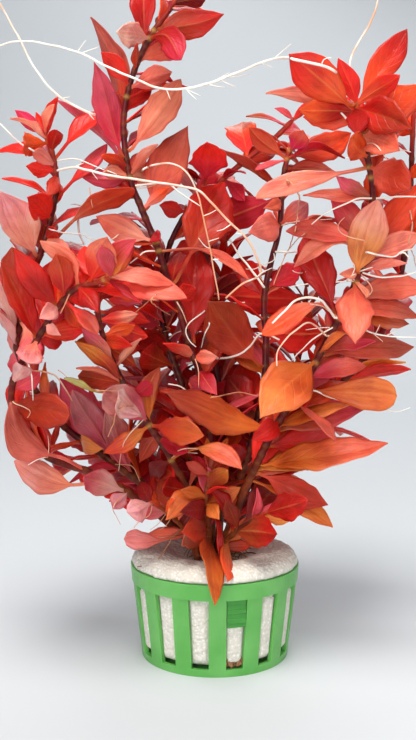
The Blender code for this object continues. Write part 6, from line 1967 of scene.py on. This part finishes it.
def laid_over(line, tree, most, rounds, behind=0.0):
    """The line, brought toward the eye where leaves at most so far in front of it would hide it."""
    needed = []
    for point in line:
        away = point - EYE
        hit = tree.ray_cast(EYE, away.normalized(), away.length + 4)[0]
        needed.append(max(point.y - hit.y + ROOT_RISE, 0) if hit and point.y - hit.y < most else 0)
    first = max(round(behind * len(line)), 1)
    needed[:first] = [passed_behind(point, tree) if behind else 0 for point in line[:first]]
    needed[0] = 0
    shifts = list(needed)
    for _ in range(rounds):
        means = [
            (before + 2 * here + after) / 4
            for before, here, after in zip(shifts, shifts[1:], shifts[2:])]
        shifts[1:-1] = [max(least, mean) for least, mean in zip(needed[1:-1], means)]
        shifts[-1] = max(needed[-1], (shifts[-1] + shifts[-2]) / 2)
    if behind:
        ease = [clamp((index - first) / 4) for index in range(len(line))]
        shifts = [shift * part + least * (1 - part) for shift, least, part in zip(shifts, needed, ease)]
    return [point + (EYE - point) * (shift / (point.y - EYE.y)) for point, shift in zip(line, shifts)]


def passed_behind(point, tree):
    """How far a point in front of a leaf moves, as a shift away from the eye, to pass behind the leaf."""
    away = point - EYE
    hit = tree.ray_cast(point, away.normalized(), 9)[0]
    return min(point.y - hit.y - ROOT_RISE, 0) if hit else 0


def main_root_line(name, given, stems, tree):
    """A main root's fine line, from inside its stem, over the leaves close in front of it."""
    line = root_line(given, stems, root_points(given))
    stem = stems[given.shoot]
    nearest = min(stem.line, key=lambda point: (point - line[0]).length)
    line = smooth_route([nearest, *line], 90)
    return laid_over(line, tree, 9.0, 12, BEHIND.get(name, 0.0))


def strand_line(given, stems, tree):
    """A thin root's line: from its stem where that is near, over the leaves or at its own depth."""
    stem = stems[given.shoot]
    centre, _ = along(stem.line, share_nearest(stem, given.route[0]))
    depth = centre.y if given.depth is None else given.depth
    points = [seen(u, v, depth) for u, v in given.route]
    if (seen(*given.route[0], centre.y) - centre).length < 6:
        points[0] = centre
    count = max(int(sum((b - a).length for a, b in zip(points, points[1:]))), 6)
    line = smooth_route(points, count)
    return line if given.depth is not None else laid_over(line, tree, 90.0, 30)


def rootlet_line(route, line):
    """A side rootlet's line, at the depth of the main root where it leaves it."""
    spots = np.array([pixel_of(point) for point in line])
    start = line[int(np.argmin(np.linalg.norm(spots - np.array(route[0]), axis=1)))]
    return [start, *[seen(u, v, start.y - 0.5 * step) for step, (u, v) in enumerate(route[1:], 1)]]


def root_piece(name, parts, tones, look):
    """One mesh of several roots, with the tone of each corner."""
    corners, faces, _ = join_parts(parts)
    made = mesh_piece(name, corners, faces, look)
    set_values(made.data, "root_tone", "FLOAT", tones)
    return made


def fine_root_pieces(stems, leaves, look):
    """The main roots in place of their solids, with their rootlets, and the thin roots in one piece."""
    tree = tree_of(leaves, stems)
    for name, given in ROOTS.items():
        line = main_root_line(name, given, stems, tree)
        parts = [fine_root(line, ROOT_SIZES.get(name, ROOT_RADIUS), name, 0.7)]
        tones = [spread(ROOT_TONES.get(name, (0.0, 0.15)), place) for place in parts[0][2]]
        for index, route in enumerate(ROOTLETS.get(name, [])):
            parts.append(fine_root(rootlet_line(route, line), ROOTLET_RADIUS, f"{name} {index}", 0.5))
            tones += [ROOTLET_TONE] * len(parts[-1][0])
        made = root_piece(f"water_{name}", parts, tones, look)
        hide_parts(name)
    parts, tones = [], []
    for index, given in enumerate(STRANDS):
        parts.append(fine_root(strand_line(given, stems, tree), given.radius, f"strand {index}", 0.6))
        tones += [given.tone] * len(parts[-1][0])
    root_piece("thin_water_roots", parts, tones, look)


def root_tuft(look):
    """Old brown root fibres that lie on the foam round the stems."""
    rng = random.Random("root tuft")
    centre = Vector((*TUFT_CENTRE, 0))
    reaches, levels = zip(*foam_profile()[:TOP_POINTS])
    parts, tones = [], []
    for index in range(TUFT_FIBRES):
        angle = rng.uniform(0, 2 * math.pi)
        near = rng.uniform(1.0, 6.5)
        far = near + rng.uniform(2.0, 6.0)
        turn, arch = rng.uniform(-1.1, 1.1), rng.uniform(0.2, 2.0)
        points = []
        for step in range(6):
            share = step / 5
            radius = near + (far - near) * share
            level = float(np.interp(radius, reaches, levels)) + 0.3 + arch * math.sin(math.pi * share)
            points.append(centre + pot_spot(angle + turn * share, radius, level))
        parts.append(fine_root(points, rng.uniform(0.1, 0.2), f"tuft {index}", 0.6))
        tones += [rng.random()] * len(parts[-1][0])
    for index in range(DEBRIS_BITS):
        angle = DEBRIS_ANGLE + rng.uniform(-0.12, 0.12)
        points = [
            pot_spot(
                angle + rng.uniform(-0.12, 0.12), DEBRIS_RADIUS + rng.uniform(-0.6, 0.3),
                rng.uniform(*DEBRIS_HEIGHTS))
            for _ in range(3)]
        parts.append(fine_root(points, rng.uniform(0.3, 0.5), f"debris {index}", 0.6))
        tones += [0.5 + 0.5 * rng.random()] * len(parts[-1][0])
    root_piece("old_root_tuft", parts, tones, look)


def backdrop():
    """A pale floor that curves up behind the object."""
    mesh = bpy.data.meshes.new("floor")
    profile = [(-1.6, 0.0), (0.5, 0.0)]
    angles = np.linspace(0.15, 1.57, 12)
    profile += [(0.5 + 0.5 * math.sin(angle), 0.5 - 0.5 * math.cos(angle)) for angle in angles]
    profile += [(1.0, 2.2)]
    corners = [(x, y, z) for y, z in profile for x in (-2.6, 2.6)]
    faces = [(2 * row, 2 * row + 1, 2 * row + 3, 2 * row + 2) for row in range(len(profile) - 1)]
    mesh.from_pydata(corners, [], faces)
    mesh.shade_smooth()
    made = bpy.data.objects.new("floor", mesh)
    bpy.context.scene.collection.objects.link(made)
    look, _ = new_look("pale floor", (0.62, 0.65, 0.68), 0.6)
    mesh.materials.append(look)


def area_light(name, place, target, size, power, colour=(1, 1, 1)):
    light = bpy.data.lights.new(name, "AREA")
    light.shape = "RECTANGLE"
    light.size, light.size_y = size
    light.energy = power
    light.color = colour
    made = bpy.data.objects.new(name, light)
    made.location = place
    made.rotation_euler = (Vector(target) - Vector(place)).to_track_quat("-Z", "Y").to_euler()
    bpy.context.scene.collection.objects.link(made)


def light_and_camera():
    """Soft light from above and in front, and the camera in the view's place."""
    middle = (0, 0, 0.1)
    area_light("top light", (-0.1, -0.32, 0.88), middle, (0.45, 0.45), 8.5, (1.0, 0.97, 0.93))
    area_light("front light", (-0.3, -1.1, 0.35), middle, (0.8, 0.6), 7.5)
    area_light("right light", (0.95, -0.35, 0.4), middle, (0.5, 0.7), 2.5)
    area_light("back light", (0.2, 0.8, 0.7), middle, (0.7, 0.4), 3.0)
    world = bpy.data.worlds.new("soft studio")
    world.use_nodes = True
    world.node_tree.nodes["Background"].inputs["Color"].default_value = (0.86, 0.93, 1.0, 1)
    world.node_tree.nodes["Background"].inputs["Strength"].default_value = 0.17
    bpy.context.scene.world = world
    data = bpy.data.cameras.new("camera")
    data.sensor_width = 36
    data.lens = 18 / HALF_FIELD
    data.clip_start = 0.01
    camera = bpy.data.objects.new("camera", data)
    camera.location = EYE * MM
    camera.rotation_euler = (math.pi / 2 - EYE_PITCH, 0, 0)
    bpy.context.scene.collection.objects.link(camera)
    bpy.context.scene.camera = camera
    bpy.context.scene.view_settings.view_transform = "Standard"


# Material slot names for the leaves that are pieces of their own, where that isn't dark_red_leaf; no piece is
# given one of them
LEAF_SLOTS = {
    "pink_leaf": [
        "far_left_leaf_01", "far_left_leaf_08", "far_left_leaf_09", "left_bow_leaf_13", "right_leaf_12",
        "right_leaf_14", "right_leaf_24", "tall_left_leaf_10"],
    "orange_leaf": [
        "back_right_leaf_01", "far_left_leaf_02", "right_leaf_20", "right_leaf_22", "right_leaf_23",
        "right_leaf_26"],
    "red_leaf": [
        "back_middle_leaf_01", "far_left_leaf_05", "left_bow_leaf_02", "right_leaf_01", "right_leaf_03",
        "right_leaf_11", "right_leaf_16", "right_leaf_19", "right_leaf_27"],
}


def build_plant(cad_box):
    """Stems, leaves and roots, with the leaves settled as the solids are."""
    stems = {name: grown_shoot(name) for name in SHOOTS}
    placed = Placed(pot_and_foam_obstacles())
    for stem in stems.values():
        radii = [stem_radius(stem, index / (len(stem.line) - 1)) for index in range(len(stem.line))]
        placed.append(obstacle(stem.name, True, *tube(stem.line, radii)))
    lines = {name: root_line(given, stems, root_points(given)) for name, given in ROOTS.items()}
    for name, line in lines.items():
        placed.append(obstacle("", False, *tube(line, [ROOT_RADIUS] * len(line))))
    bare = list(placed.items)
    leaves = grow_seen_leaves(LEAVES, stems, placed, SMALL_AREA) + grow_paired_leaves(stems, placed)
    leaves = [leaf for leaf in leaves if leaf.label not in LEFT_OUT]
    placed = Placed(bare)
    for leaf in leaves:
        blade = blade_only(leaf.form)
        placed.append(obstacle(leaf.shoot, leaf.fused, *leaf_solid(leaf.form, leaf.cut), blade))
    leaves += grow_seen_leaves(FINE_LEAVES, stems, placed, kind="fine", separate=0)
    leaves += grow_seen_leaves(LEAVES, stems, placed, 0, SMALL_AREA)
    leaves += grow_crown_leaves(stems, placed)
    low, high = (Vector(corner) / MM for corner in cad_box)
    low.z = POT_HEIGHT + 4
    leaves += grow_hidden_leaves(stems, placed, low, high)
    thin, bark = leaf_look(), stem_look()
    slots = {label: slot for slot, labels in LEAF_SLOTS.items() for label in labels}
    for name, stem in stems.items():
        own = [leaf for leaf in leaves if leaf.shoot == name]
        made = stem_piece(stem, own, bark)
        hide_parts(f"stem_{name}")
        small = [leaf for leaf in own if leaf.fused]
        group = leaf_piece(f"shoot_{name}_leaves", small, stems, thin)
        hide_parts(f"stem_{name}")
    for leaf in leaves:
        if not leaf.fused:
            made = leaf_piece(f"blade_{leaf.label}", [leaf], stems, thin)
            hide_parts(leaf.label)
    fine_root_pieces(stems, leaves, root_look())
    root_tuft(fibre_look())


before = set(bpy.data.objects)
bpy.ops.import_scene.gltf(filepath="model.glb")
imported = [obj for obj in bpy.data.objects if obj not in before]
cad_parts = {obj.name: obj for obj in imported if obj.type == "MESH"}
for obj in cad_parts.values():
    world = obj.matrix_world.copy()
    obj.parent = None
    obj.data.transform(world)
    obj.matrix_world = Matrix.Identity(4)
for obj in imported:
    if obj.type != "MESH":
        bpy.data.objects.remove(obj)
cad_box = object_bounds()
build_plant(cad_box)
pot = pot_piece(pot_look())
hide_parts("net_pot")
foam = foam_piece(foam_look())
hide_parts("foam_plug")
backdrop()
light_and_camera()
